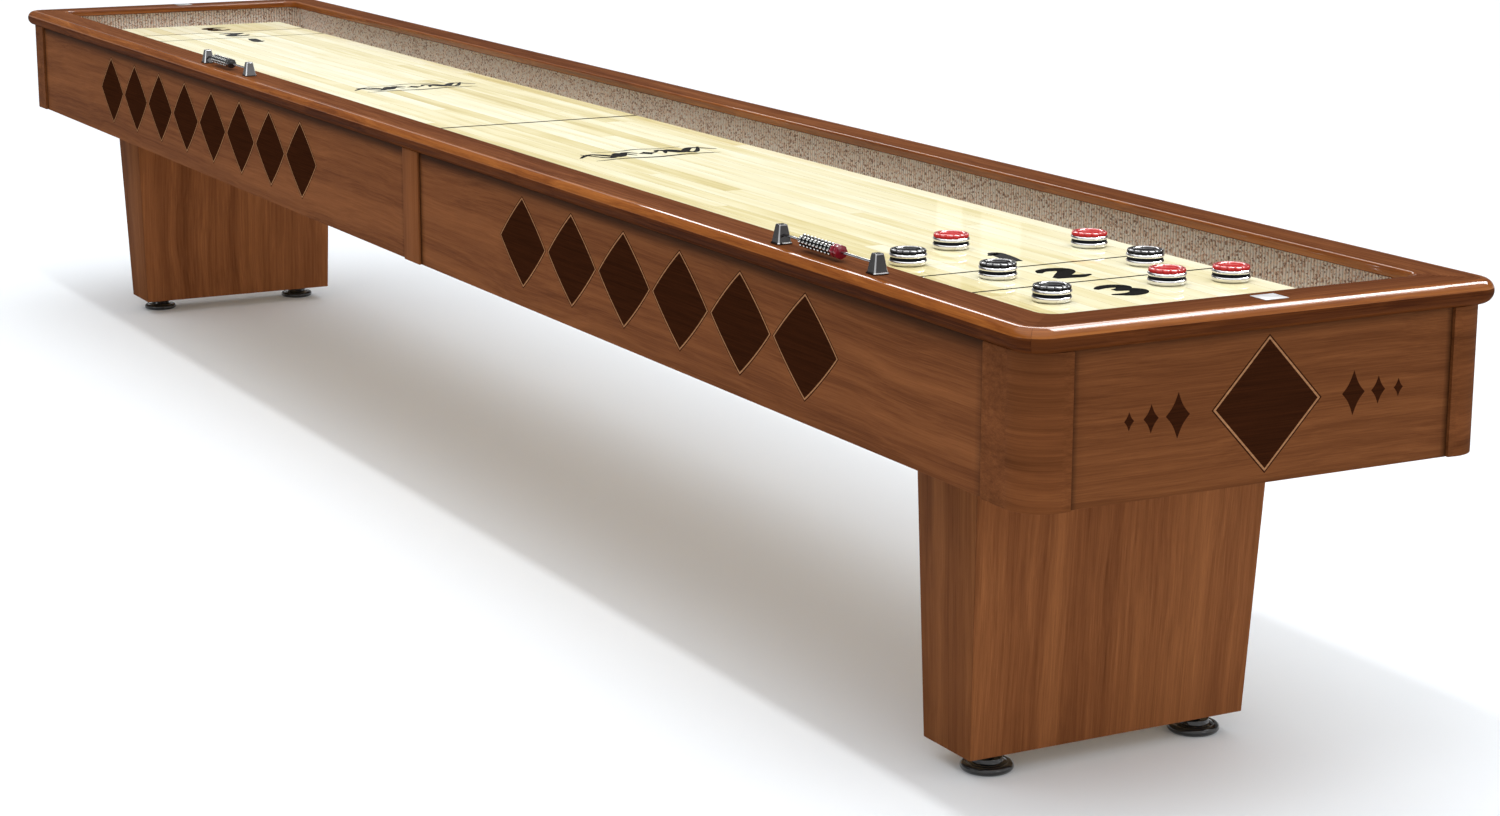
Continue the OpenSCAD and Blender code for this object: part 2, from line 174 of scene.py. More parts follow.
def stops(places, *colours):
    """Colour ramp stops from their places and 8-bit sRGB colours."""
    return [(place, rgb(*colour)) for place, colour in zip(places, colours)]


def grain_vector(mat):
    """Along the grain, across the face, and depth, in metres, as each piece stores it."""
    return put(mat, "ShaderNodeAttribute", attribute_name="grain").outputs["Vector"]


def tone_and_shade_value(mat):
    """How dark one place of a piece is, as each piece stores it: random tone on the playfield strips, painted shade
    on the veneers and between the carpet's ribs.
    """
    return put(mat, "ShaderNodeAttribute", attribute_name="tone").outputs["Fac"]


def place_vector(mat):
    return put(mat, "ShaderNodeTexCoord").outputs["Object"]


SWAY = 0.09
PORE_DARK = (0.03, 0.012, 0.006, 1.0)
PAINTED_SHADE_DARK = (0.012, 0.005, 0.002, 1.0)


def veneer(name, tones, mixing, rough=0.5, coat=0.05, coat_rough=0.3, bump_size=0.0002):
    """Stained veneer. mixing gives the shares of soft bands, streaks, fibres and arched rings.
    The tone attribute paints shade into the colour where a piece meets a proud neighbour, under the rails, and over
    whole shaded faces."""
    mat = new_material(name)
    band_share, streak_share, fibre_share, ring_share = mixing
    grain = grain_vector(mat)
    sway = weigh(mat, grainy(mat, grain, 1.3, 2.5), SWAY, -SWAY / 2)
    shift = put(mat, "ShaderNodeCombineXYZ", {"Y": sway, "Z": sway}).outputs["Vector"]
    bent = put(mat, "ShaderNodeVectorMath", {0: grain, 1: shift}, operation="ADD").outputs["Vector"]
    fibres = grainy(mat, grain, 9.0, 560.0, 3.0, 0.7)
    flecks = grainy(mat, grain, 38.0, 1500.0, 2.0)
    shade = weigh(mat, grainy(mat, bent, 0.55, 22.0, 2.0), band_share)
    shade = weigh(mat, grainy(mat, bent, 1.8, 150.0, 4.0, 0.65), streak_share, shade)
    shade = weigh(mat, fibres, fibre_share, shade)
    if ring_share:
        inputs = {"Vector": scaled(mat, bent, (0.55, 7.0, 1.0)), "Scale": 1.3, "Distortion": 1.6, "Detail": 2.0}
        arches = put(mat, "ShaderNodeTexWave", inputs, wave_type="RINGS", rings_direction="Z", wave_profile="SIN")
        shade = weigh(mat, arches.outputs["Fac"], ring_share, shade)
    colour = ramp(mat, shade, list(zip((0.36, 0.46, 0.54, 0.66), tones)))
    pores = ramp(mat, flecks, [(0.33, (0, 0, 0)), (0.4, (1, 1, 1))])
    colour = mix(mat, weigh(mat, pores, -0.16, 0.16), colour, PORE_DARK)
    # Painted shade: the tone attribute mixes in a near-black brown.
    colour = mix(mat, tone_and_shade_value(mat), colour, PAINTED_SHADE_DARK)
    return surface(
        mat,
        Base_Color=colour,
        Roughness=weigh(mat, fibres, 0.16, rough - 0.08),
        Normal=bump(mat, weigh(mat, pores, 0.7, weigh(mat, fibres, 0.5)), 0.3, bump_size),
        Coat_Weight=coat,
        Coat_Roughness=coat_rough,
        Specular_IOR_Level=0.0,
    )


def under_coat(mat, colour, coat):
    """Wood or print under the playfield's clear coat."""
    return surface(
        mat,
        Base_Color=colour,
        Roughness=0.35,
        Coat_Weight=coat,
        Coat_Roughness=0.03,
        Coat_IOR=1.5,
        Specular_IOR_Level=0.0,
    )


def playfield_material():
    """Maple strips with their own tone, streaks, and a thick clear coat."""
    mat = new_material("maple_clear_coat")
    grain = grain_vector(mat)
    shade = weigh(mat, grainy(mat, grain, 2.4, 14.0, 3.0, 0.5, 0.8), 0.3)
    shade = weigh(mat, grainy(mat, grain, 1.6, 60.0, 4.0, 0.6, 0.4), 0.4, shade)
    shade = weigh(mat, tone_and_shade_value(mat), 0.23, shade)
    shade = weigh(mat, grainy(mat, grain, 12.0, 900.0, 2.0, 0.6), 0.08, shade)
    maple = stops((0.25, 0.38, 0.51, 0.65), (186, 164, 104), (215, 202, 149), (230, 221, 180), (239, 235, 208))
    return under_coat(mat, ramp(mat, shade, maple), 0.5)


def seam_material():
    mat = new_material("playfield_seam")
    streaks = grainy(mat, grain_vector(mat), 9.0, 60.0)
    return under_coat(mat, ramp(mat, streaks, stops((0.35, 0.65), (150, 120, 70), (196, 168, 108))), 0.6)


def ink_material():
    mat = new_material("playfield_marks")
    worn = noise(mat, place_vector(mat), 240.0, 4.0, 0.6)
    return under_coat(mat, ramp(mat, worn, [(0.3, (0.004, 0.004, 0.004)), (0.75, (0.012, 0.011, 0.010))]), 0.25)


def inlay_material(name, dark, light):
    """Dark print under the satin finish, with a little of the grain in it."""
    mat = new_material(name)
    fibres = grainy(mat, grain_vector(mat), 7.0, 420.0, 3.0, 0.6)
    colour = ramp(mat, fibres, [(0.3, dark), (0.7, light)])
    relief = bump(mat, fibres, 0.2, 0.0002)
    return surface(mat, Base_Color=colour, Roughness=0.5, Normal=relief, Specular_IOR_Level=0.0)


def carpet_material():
    """Ribbed loop pile: mixed beige, brown and dark yarns, with painted shade darkening the colour between the ribs.
    """
    mat = new_material("gutter_carpet")
    coords = place_vector(mat)
    yarn = put(mat, "ShaderNodeTexVoronoi", {"Vector": coords, "Scale": 310.0, "Randomness": 1.0}, feature="F1")
    pick = put(mat, "ShaderNodeSeparateColor", {"Color": yarn.outputs["Color"]}).outputs[0]
    fuzz = noise(mat, coords, 1400.0, 2.0, 0.7)
    mixed = weigh(mat, noise(mat, coords, 9.0, 3.0, 0.6), 0.2, weigh(mat, pick, 0.85))
    mixed = weigh(mat, fuzz, 0.12, mixed)
    yarns = ((92, 62, 46), (216, 178, 150), (255, 235, 215), (255, 248, 238), (255, 250, 242))
    colour = ramp(mat, mixed, stops((0.1, 0.32, 0.47, 0.74, 1.0), *yarns))
    # Painted shade: dark brown mixed in where the tone attribute says a point lies low between ribs.
    colour = mix(mat, weigh(mat, tone_and_shade_value(mat), -0.85, 0.5, clamp=True), colour, rgb(62, 40, 30))
    return surface(
        mat,
        Base_Color=colour,
        Roughness=0.95,
        Normal=bump(mat, weigh(mat, fuzz, 0.5, yarn.outputs["Distance"]), 0.8, 0.0012),
        Sheen_Weight=0.5,
        Sheen_Roughness=0.5,
        Specular_IOR_Level=0.15,
    )


def softwood_material(name, along):
    """Unfinished structural wood, its grain along one axis of the table."""
    mat = new_material(name)
    coords = place_vector(mat)
    stretch = [1.0 if axis == along else 18.0 for axis in "XYZ"]
    fine = [12.0 if axis == along else 420.0 for axis in "XYZ"]
    bands = noise(mat, scaled(mat, coords, stretch), 3.0, 4.0, 0.6, 0.6)
    fibres = noise(mat, scaled(mat, coords, fine), 1.0, 3.0, 0.6)
    shade = weigh(mat, fibres, 0.35, weigh(mat, bands, 0.65))
    colour = ramp(mat, shade, stops((0.36, 0.5, 0.64), (176, 140, 96), (202, 168, 120), (218, 188, 142)))
    return surface(mat, Base_Color=colour, Roughness=0.72, Normal=bump(mat, fibres, 0.4, 0.0004))


def metal_material(name, base, rough, scratch_axis=None, wear=0.12):
    """Polished or plated metal with smudges and fine scratches."""
    mat = new_material(name)
    coords = place_vector(mat)
    smudge = noise(mat, coords, 34.0, 4.0, 0.6)
    stretch = [(40.0 if axis == scratch_axis else 1600.0) if scratch_axis else 900.0 for axis in "XYZ"]
    scratches = noise(mat, scaled(mat, coords, stretch), 1.0, 2.0, 0.6)
    colour = ramp(mat, smudge, [(0.35, [value * 0.86 for value in base]), (0.65, base)])
    roughness = weigh(mat, smudge, wear, rough - wear / 2)
    relief = bump(mat, scratches, 0.05, 0.0001)
    return surface(mat, Base_Color=colour, Metallic=1.0, Roughness=roughness, Normal=relief)


def plastic_material(name, base, rough, coat, specular=0.3, coat_ior=1.5):
    """Moulded plastic or enamel with a faint mottle and handling marks."""
    mat = new_material(name)
    coords = place_vector(mat)
    mottle = noise(mat, coords, 160.0, 4.0, 0.6)
    smear = noise(mat, coords, 28.0, 3.0, 0.6)
    low = [value * 0.9 for value in base]
    high = [min(1.0, value * 1.1 + 0.002) for value in base]
    return surface(
        mat,
        Base_Color=ramp(mat, mottle, [(0.35, low), (0.65, high)]),
        Roughness=weigh(mat, smear, 0.14, rough - 0.07),
        Normal=bump(mat, mottle, 0.08, 0.0002),
        Coat_Weight=coat,
        Coat_Roughness=0.035,
        Coat_IOR=coat_ior,
        Specular_IOR_Level=specular,
    )


# ---------------------------------------------------------------- materials

CABINET_TONES = (rgb(90, 50, 25), rgb(107, 62, 33), rgb(119, 71, 39), rgb(134, 82, 46))
BLOCK_TONES = (rgb(81, 44, 21), rgb(96, 55, 28), rgb(107, 62, 33), rgb(121, 73, 40))
LEG_TONES = (rgb(100, 58, 31), rgb(122, 73, 42), rgb(136, 84, 49), rgb(156, 99, 59))
RAIL_TONES = (rgb(72, 38, 20), rgb(92, 51, 28), rgb(107, 63, 36), rgb(126, 78, 47))
NOSE_TONES = (rgb(92, 46, 15), rgb(118, 63, 23), rgb(137, 78, 31), rgb(160, 97, 43))
# Painted shade: a darker copy of the rail wood for the lower half of the nose.
SHADED_NOSE_UNDERSIDE_TONES = (rgb(46, 20, 7), rgb(66, 31, 11), rgb(82, 42, 17), rgb(100, 54, 24))

M = {
    "cabinet": veneer("cabinet_veneer", CABINET_TONES, (0.36, 0.34, 0.26, 0.04)),
    "block": veneer("block_veneer", BLOCK_TONES, (0.36, 0.34, 0.25, 0.05)),
    "leg": veneer("leg_veneer", LEG_TONES, (0.42, 0.32, 0.26, 0.0)),
    "rail": veneer("rail_lacquer", RAIL_TONES, (0.36, 0.36, 0.28, 0.0), 0.38, 0.06, 0.2, 0.0001),
    "nose": veneer("rail_nose_lacquer", NOSE_TONES, (0.4, 0.36, 0.24, 0.0), 0.3, 0.55, 0.04, 0.00003),
    "under": veneer("rail_underside_painted_shade", SHADED_NOSE_UNDERSIDE_TONES, (0.4, 0.36, 0.24, 0.0)),
    "maple": playfield_material(),
    "seam": seam_material(),
    "ink": ink_material(),
    "inlay": inlay_material("cabinet_inlay", rgb(40, 19, 9), rgb(55, 27, 13)),
    "inlay_line": inlay_material("cabinet_inlay_line", rgb(140, 98, 68), rgb(164, 120, 84)),
    "carpet": carpet_material(),
    "wood_x": softwood_material("softwood_along_x", "X"),
    "wood_y": softwood_material("softwood_along_y", "Y"),
    "zinc": metal_material("zinc_steel", (0.56, 0.57, 0.58), 0.34),
    "foot": plastic_material("black_foot", (0.010, 0.010, 0.011), 0.16, 0.8),
    "dark_chrome": metal_material("dark_chrome", (0.075, 0.072, 0.072), 0.12, None, 0.06),
    "steel": metal_material("bright_steel", (0.5, 0.5, 0.51), 0.18, "X"),
    "silver": metal_material("silver_bead", (0.8, 0.8, 0.77), 0.16, None, 0.06),
    # Painted shade for the silver beads' shoulders and flute valleys.
    "bead_painted_shade": plastic_material("bead_painted_shade", (0.006, 0.006, 0.006), 0.6, 0.0, 0.05),
    "chrome": metal_material("weight_chrome", (0.84, 0.84, 0.86), 0.09, None, 0.05),
    "waist": plastic_material("weight_waist", (0.006, 0.007, 0.012), 0.5, 0.0, 0.05),
    "red_bead": plastic_material("red_bead", (0.2, 0.004, 0.016), 0.2, 0.6),
    "black_bead": plastic_material("black_bead", (0.010, 0.010, 0.011), 0.18, 0.7),
    "red_cap": plastic_material("red_cap", (0.46, 0.02, 0.02), 0.45, 0.3, 0.0),
    "red_ring": plastic_material("red_ring", (0.5, 0.022, 0.022), 0.2, 1.0, 0.0, 1.8),
    "black_cap": plastic_material("black_cap", (0.008, 0.008, 0.009), 0.45, 0.3, 0.0),
    "black_ring": plastic_material("black_ring", (0.006, 0.006, 0.007), 0.2, 1.0, 0.0, 2.1),
    "plate": metal_material("rail_plate", (0.24, 0.24, 0.24), 0.5, "Y"),
}


# ---------------------------------------------------------------- mesh helpers


def ease_edges(bm, edges, offset, segments=2):
    ways = {"profile": 0.5, "affect": "EDGES", "clamp_overlap": True}
    bmesh.ops.bevel(bm, geom=list(edges), offset=offset, segments=segments, **ways)


def vertex_layer(bm, kind, name):
    layers = getattr(bm.verts.layers, kind)
    return layers.get(name) or layers.new(name)


def drawn_offset(seeds, reach=3):
    """Moves a piece to its own place in the grain."""
    return Vector([seeds.uniform(-reach, reach) for _ in range(3)])


def add_box(bm, lo, hi, edge=1.2 * MM, segments=2):
    """Box with its edges eased."""
    made = bmesh.ops.create_cube(bm, size=1.0)["verts"]
    for v in made:
        v.co = Vector([lo[i] + (v.co[i] + 0.5) * (hi[i] - lo[i]) for i in range(3)])
    ease_edges(bm, {e for v in made for e in v.link_edges}, edge, segments)


def add_hexahedron(bm, corners, edge=1.5 * MM):
    """Solid from four lower and four upper corners, each set anticlockwise from above."""
    vs = [bm.verts.new(c) for c in corners]
    for quad in ((3, 2, 1, 0), (4, 5, 6, 7), (0, 1, 5, 4), (1, 2, 6, 5), (2, 3, 7, 6), (3, 0, 4, 7)):
        bm.faces.new([vs[i] for i in quad])
    ease_edges(bm, {e for v in vs for e in v.link_edges}, edge)


def add_prism(bm, outline, z0, z1, edge=0.0):
    """Upright solid over an anticlockwise outline, with its top and bottom edges eased."""
    low, high = ([bm.verts.new((x, y, z)) for x, y in outline] for z in (z0, z1))
    ends = (bm.faces.new(low[::-1]), bm.faces.new(high))
    join_rings(bm, low, high, 0)
    if edge:
        ease_edges(bm, [e for f in ends for e in f.edges], edge)


def add_lathe(bm, profile, centre, axis="Z", segments=48, mats=None, ripple=None):
    """Turned solid. Profile runs from the axis to the axis as (radius, height) pairs.
    ripple(index, angle) scales the radius of one profile point."""
    rings = []
    for k, (r, h) in enumerate(profile):
        if r < 1e-7:
            rings.append([bm.verts.new(turned(centre, axis, 0.0, 0.0, h))])
            continue
        ring = []
        for i in range(segments):
            a = 2 * math.pi * i / segments
            radius = r * (ripple(k, a) if ripple else 1.0)
            ring.append(bm.verts.new(turned(centre, axis, radius * math.cos(a), radius * math.sin(a), h)))
        rings.append(ring)
    for k in range(len(rings) - 1):
        join_rings(bm, rings[k], rings[k + 1], mats[k] if mats else 0)


def turned(centre, axis, a, b, h):
    if axis == "Z":
        return (centre[0] + a, centre[1] + b, centre[2] + h)
    return (centre[0] + h, centre[1] + a, centre[2] + b)


def join_rings(bm, low, high, mat):
    n = max(len(low), len(high))
    for i in range(n):
        j = (i + 1) % n
        if len(low) == 1:
            f = bm.faces.new((low[0], high[j], high[i]))
        elif len(high) == 1:
            f = bm.faces.new((low[i], low[j], high[0]))
        else:
            f = bm.faces.new((low[i], low[j], high[j], high[i]))
        f.material_index = mat


def add_grid(bm, points, layer, values):
    """Faces over rows of points. values[row][column] fills a vertex layer."""
    rows = []
    for row, line in zip(points, values):
        rows.append([bm.verts.new(p) for p in row])
        for v, value in zip(rows[-1], line):
            v[layer] = value
    for i in range(len(rows) - 1):
        for j in range(len(rows[0]) - 1):
            bm.faces.new((rows[i][j], rows[i + 1][j], rows[i + 1][j + 1], rows[i][j + 1]))


def grain_from_place(bm, along, seed):
    """Stores the grain coordinates of a piece cut from solid wood."""
    offset = drawn_offset(random.Random(seed))
    order = {"X": (0, 2, 1), "Y": (1, 2, 0), "Z": (2, 1, 0)}[along]
    layer = vertex_layer(bm, "float_vector", "grain")
    for v in bm.verts:
        v[layer] = Vector([v.co[i] for i in order]) + offset


def finish_piece(bm, name, body, mats, nodes=(), along=None, seed=0, smooth=32):
    """Turns the mesh into a piece that rides on a body and stands for CAD nodes."""
    if along:
        grain_from_place(bm, along, seed)
    bm.normal_update()
    bmesh.ops.recalc_face_normals(bm, faces=bm.faces[:])
    mesh = bpy.data.meshes.new(name)
    bm.to_mesh(mesh)
    bm.free()
    for key in mats:
        mesh.materials.append(M[key])
    mesh.shade_smooth()
    mesh.set_sharp_from_angle(angle=math.radians(smooth))
    piece = bpy.data.objects.new(name, mesh)
    bpy.context.scene.collection.objects.link(piece)
    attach(piece, body)
    if nodes:
        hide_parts(*nodes)
    return piece


def islands(node):
    """Boxes of the separate solids of a CAD node, in order of X, then Y."""
    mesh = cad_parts[node].data
    co = np.zeros(len(mesh.vertices) * 3)
    mesh.vertices.foreach_get("co", co)
    co = co.reshape(-1, 3)
    _, same = np.unique(np.round(co, 5), axis=0, return_inverse=True)
    same = same.reshape(-1)
    parent = list(range(same.max() + 1))

    def root(i):
        while parent[i] != i:
            parent[i] = parent[parent[i]]
            i = parent[i]
        return i

    for polygon in mesh.polygons:
        ids = [root(same[v]) for v in polygon.vertices]
        for other in ids[1:]:
            parent[other] = ids[0]
    groups = {}
    for i, s in enumerate(same):
        groups.setdefault(root(s), []).append(i)
    boxes = [(co[g].min(0), co[g].max(0)) for g in groups.values()]
    return sorted(boxes, key=lambda b: (round(b[0][0], 3), round(b[0][1], 3), round(b[0][2], 3)))


# ---------------------------------------------------------------- shared sizes

HALF_X, HALF_Y = cad_box[1][0], cad_box[1][1]
RAIL_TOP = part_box("rail_front")[1].z
RAIL_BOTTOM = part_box("rail_front")[0].z
NOSE_R = (RAIL_TOP - RAIL_BOTTOM) / 2
LIP_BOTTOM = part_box("side_panel_front_near")[1].z
APRON_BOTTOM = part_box("side_panel_front_near")[0].z
APRON_MIDDLE = 0.5 * (APRON_BOTTOM + RAIL_BOTTOM)
PANEL_Y = -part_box("side_panel_front_near")[0].y
PANEL_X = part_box("end_panel_near")[1].x
FIELD_LO, FIELD_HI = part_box("playfield")
RAIL_W = HALF_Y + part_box("rail_front")[1].y


# ---------------------------------------------------------------- ring of the table

CORNER_R = 45 * MM
BOARD_R = CORNER_R - NOSE_R
INNER_R = 28 * MM
MITRE = math.radians(44.75)


def rail_radius(d):
    """Corner radius of the rail at a distance d in from its outer edge."""
    if d <= NOSE_R:
        return CORNER_R - d
    share = (d - NOSE_R) / (RAIL_W - NOSE_R)
    return BOARD_R + (INNER_R - BOARD_R) * share


def side_frame(side):
    """Outward reach, half length, and a map from (along, outward) to the plan, for one side."""
    maps = {
        "near": lambda u, v: (v, u),
        "far": lambda u, v: (-v, -u),
        "back": lambda u, v: (-u, v),
        "front": lambda u, v: (u, -v),
    }
    long_side = side in ("front", "back")
    reach = HALF_Y if long_side else HALF_X
    half = HALF_X if long_side else HALF_Y
    return reach, half, maps[side]


def ring_line(side, d, radius, samples):
    """Points of the line at distance d in from the outer edge, with the length along it.
    samples are (share, angle): from -1 to 1 along the straight, and the turn into a corner."""
    reach, half, place = side_frame(side)
    straight = half - d - radius
    points = []
    for share, a in samples:
        u = straight * share + radius * math.sin(a)
        v = reach - d - radius + radius * math.cos(a)
        points.append((u, v, place(u, v)))
    return points


def rail_samples(corner_steps, straight_steps):
    turns = [MITRE * k / corner_steps for k in range(corner_steps + 1)]
    middle = [(2 * k / straight_steps - 1, 0.0) for k in range(1, straight_steps)]
    return [(-1, -a) for a in turns[::-1]] + middle + [(1, a) for a in turns]


# ---------------------------------------------------------------- rails

EDGE_LINE_D = 19.2 * MM
EDGE_LINE_W = 1.0 * MM
EDGE_LINE_DEEP = 0.7 * MM
INNER_EASE = 4.0 * MM
NOSE_STEPS = 22
GLOSS_FROM = 13
EASE_STEPS = 6
LIP_EASE = 1.5 * MM


# UNDER is the painted shade material on the lower half of the nose.
FLAT, GLOSS, UNDER = 0, 1, 2


def rail_profile():
    """(distance in, height, material) round the rail's section. The rounded edges are glossier, and the lower half
    of the nose takes a darker copy of the wood as painted shade.
    """
    points = []
    for k in range(NOSE_STEPS + 1):
        a = math.pi * k / NOSE_STEPS
        mat = GLOSS if k >= GLOSS_FROM else UNDER
        points.append((NOSE_R - NOSE_R * math.sin(a), RAIL_BOTTOM + NOSE_R - NOSE_R * math.cos(a), mat))
    points += [
        (EDGE_LINE_D, RAIL_TOP, GLOSS),
        (EDGE_LINE_D + EDGE_LINE_W * 0.4, RAIL_TOP - EDGE_LINE_DEEP, GLOSS),
        (EDGE_LINE_D + EDGE_LINE_W, RAIL_TOP - EDGE_LINE_DEEP * 0.2, FLAT),
        (EDGE_LINE_D + EDGE_LINE_W * 2, RAIL_TOP, FLAT),
    ]
    points += [(NOSE_R + (RAIL_W - NOSE_R) * s, RAIL_TOP, FLAT) for s in (0.25, 0.5, 0.75)]
    for k in range(EASE_STEPS + 1):
        a = math.pi / 2 * k / EASE_STEPS
        d = RAIL_W - INNER_EASE + INNER_EASE * math.sin(a)
        points.append((d, RAIL_TOP - INNER_EASE + INNER_EASE * math.cos(a), GLOSS))
    points += [(RAIL_W, LIP_BOTTOM + LIP_EASE, GLOSS), (RAIL_W - LIP_EASE, LIP_BOTTOM, FLAT)]
    points.append((NOSE_R, LIP_BOTTOM, FLAT))
    return points


def make_rail(side, node):
    bm = bmesh.new()
    grain = vertex_layer(bm, "float_vector", "grain")
    profile = rail_profile()
    samples = rail_samples(9, 24 if side in ("front", "back") else 6)
    rows, offset = [], drawn_offset(random.Random(node))
    for d, z, _ in profile:
        row = []
        for u, _, (x, y) in ring_line(side, d, rail_radius(d), samples):
            vert = bm.verts.new((x, y, z))
            vert[grain] = Vector((u, d + RAIL_TOP - z, z)) + offset
            row.append(vert)
        rows.append(row)
    for i, low in enumerate(rows):
        after = (i + 1) % len(rows)
        high = rows[after]
        mat = profile[i][2]
        if mat == GLOSS and profile[after][2] != GLOSS:
            mat = FLAT
        for j in range(len(samples) - 1):
            bm.faces.new((low[j], low[j + 1], high[j + 1], high[j])).material_index = mat
    for j in (0, -1):
        bm.faces.new([row[j] for row in rows])
    finish_piece(bm, "top_" + node, TABLE, ["rail", "nose", "under"], [node], smooth=28)


# ---------------------------------------------------------------- cabinet

PROUD = 5 * MM
BLOCK_SIDE = 115 * MM
BLOCK_END = 70 * MM
CABINET_R = 48 * MM
PANEL_T = 25 * MM
PANEL_EASE = 1.5 * MM
CORNER_STEPS = 20
BLOCK_X = PANEL_X + PROUD - BLOCK_SIDE

# How dark the painted shade is at a distance in mm from a proud piece, and the painted shadow at a distance below
# the rail.
PROUD_PIECE_PAINTED_SHADE = ((0.0, 0.8), (4.0, 0.62), (12.0, 0.22), (24.0, 0.0))
RAIL_PAINTED_SHADOW = ((0.0, 0.9), (9.0, 0.72), (20.0, 0.25), (34.0, 0.0))
END_RAIL_PAINTED_SHADOW = ((0.0, 0.6), (5.0, 0.35), (14.0, 0.0))
END_PANEL_PAINTED_SHADE = 0.16
LEG_SIDE_PAINTED_SHADE = 0.3


def paint_shade_beside(bm, axis, places, shades=PROUD_PIECE_PAINTED_SHADE):
    """Paints shade into the colour beside each place along an axis where a proud piece stands."""
    tone = vertex_layer(bm, "float", "tone")
    normal = Vector([1.0 if i == axis else 0.0 for i in range(3)])
    for at in places:
        for far, _ in shades:
            for sign in (-1, 1):
                geom = bm.verts[:] + bm.edges[:] + bm.faces[:]
                cut_at = normal * (at + sign * far * MM)
                bmesh.ops.bisect_plane(bm, geom=geom, plane_co=cut_at, plane_no=normal, dist=0.05 * MM)
    for v in bm.verts:
        for at in places:
            v[tone] = max(v[tone], painted_shade_at(abs(v.co[axis] - at) / MM, shades))


def painted_shade_at(distance, shades):
    for (a, high), (b, low) in zip(shades, shades[1:]):
        if distance <= b:
            return high + (low - high) * (distance - a) / (b - a)
    return 0.0


def make_side_panel(node, seed):
    bm = bmesh.new()
    lo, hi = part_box(node)
    add_box(bm, lo, hi, PANEL_EASE)
    stile_lo, stile_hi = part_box("center_stile_front")
    proud_edges = (-BLOCK_X, BLOCK_X, stile_lo.x, stile_hi.x)
    # Painted shade beside the proud corner blocks and stile, and a painted shadow under the rail.
    paint_shade_beside(bm, 0, [x for x in proud_edges if lo.x - MM < x < hi.x + MM])
    paint_shade_beside(bm, 2, [RAIL_BOTTOM], RAIL_PAINTED_SHADOW)
    finish_piece(bm, "veneered_" + node, TABLE, ["cabinet"], [node], along="X", seed=seed)


def make_end_panel(end, seed):
    node = "end_panel_" + end
    bm = bmesh.new()
    lo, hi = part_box(node)
    add_box(bm, lo, hi, PANEL_EASE)
    # Painted shade beside the corner blocks, a painted shadow under the end rail, and painted shade over the whole
    # end face.
    paint_shade_beside(bm, 1, [lo.y, hi.y])
    paint_shade_beside(bm, 2, [RAIL_BOTTOM], END_RAIL_PAINTED_SHADOW)
    paint_shade_all(bm, END_PANEL_PAINTED_SHADE)
    finish_piece(bm, "veneered_" + node, TABLE, ["cabinet"], [node], along="Y", seed=seed)


def corner_outline(proud, sx, sy):
    """Plan of a corner block, anticlockwise, for the corner with signs sx and sy."""
    cx, cy = PANEL_X - CABINET_R, PANEL_Y - CABINET_R
    end_y = PANEL_Y + PROUD - BLOCK_END
    turns = [math.pi / 2 * k / CORNER_STEPS for k in range(CORNER_STEPS + 1)]
    outer_r, inner_r = CABINET_R + proud, CABINET_R - PANEL_T
    points = [(BLOCK_X, PANEL_Y + proud)]
    points += [(cx + outer_r * math.cos(a), cy + outer_r * math.sin(a)) for a in turns[::-1]]
    points += [(PANEL_X + proud, end_y), (PANEL_X - PANEL_T, end_y)]
    points += [(cx + inner_r * math.cos(a), cy + inner_r * math.sin(a)) for a in turns]
    points.append((BLOCK_X, PANEL_Y - PANEL_T))
    points = [(sx * x, sy * y) for x, y in points]
    return points[::-1] if sx * sy > 0 else points


def make_corner_block(side, end, seed):
    node = f"corner_block_{side}_{end}"
    sx, sy = ENDS[end], SIDES[side]
    bm = bmesh.new()
    add_prism(bm, corner_outline(PROUD, sx, sy), APRON_BOTTOM, RAIL_BOTTOM, PANEL_EASE)
    add_prism(bm, corner_outline(0.0, sx, sy), RAIL_BOTTOM, LIP_BOTTOM)
    grain = vertex_layer(bm, "float_vector", "grain")
    offset = drawn_offset(random.Random(seed))
    cx, cy = PANEL_X - CABINET_R, PANEL_Y - CABINET_R
    for v in bm.verts:
        x, y = abs(v.co.x) - cx, abs(v.co.y) - cy
        if y <= 0:
            around = y
        elif x <= 0:
            around = CABINET_R * math.pi / 2 - x
        else:
            around = CABINET_R * math.atan2(y, x)
        v[grain] = Vector((around, v.co.z, math.hypot(x, y))) + offset
    finish_piece(bm, "veneered_" + node, TABLE, ["block"], [node])


def make_stile(side):
    node = "center_stile_" + side
    bm = bmesh.new()
    lo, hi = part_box(node)
    add_box(bm, lo, hi, 1.2 * MM, 3)
    finish_piece(bm, "veneered_" + node, TABLE, ["cabinet"], [node], along="Z", seed=node)


# ---------------------------------------------------------------- inlays on the cabinet

INLAY_SUNK = 0.3 * MM
SIDE_DIAMOND_H = 150 * MM
SIDE_DIAMOND_UP = 8 * MM
END_DIAMOND = (168 * MM, 176 * MM)
END_DIAMOND_UP = 3 * MM
SMALL_DIAMONDS = ((150, 64), (194, 40), (230, 26))


def diamond(cx, cy, w, h, pinch=0.0):
    """Four-pointed outline. pinch draws its sides in."""
    tips = [(cx + w / 2, cy), (cx, cy + h / 2), (cx - w / 2, cy), (cx, cy - h / 2)]
    steps = 8
    points = []
    for k in range(4):
        a, b = tips[k], tips[(k + 1) % 4]
        for s in range(steps):
            t = s / steps
            x = a[0] + (b[0] - a[0]) * t
            y = a[1] + (b[1] - a[1]) * t
            pull = pinch * 4 * t * (1 - t)
            points.append((x + (cx - x) * pull, y + (cy - y) * pull))
    return points


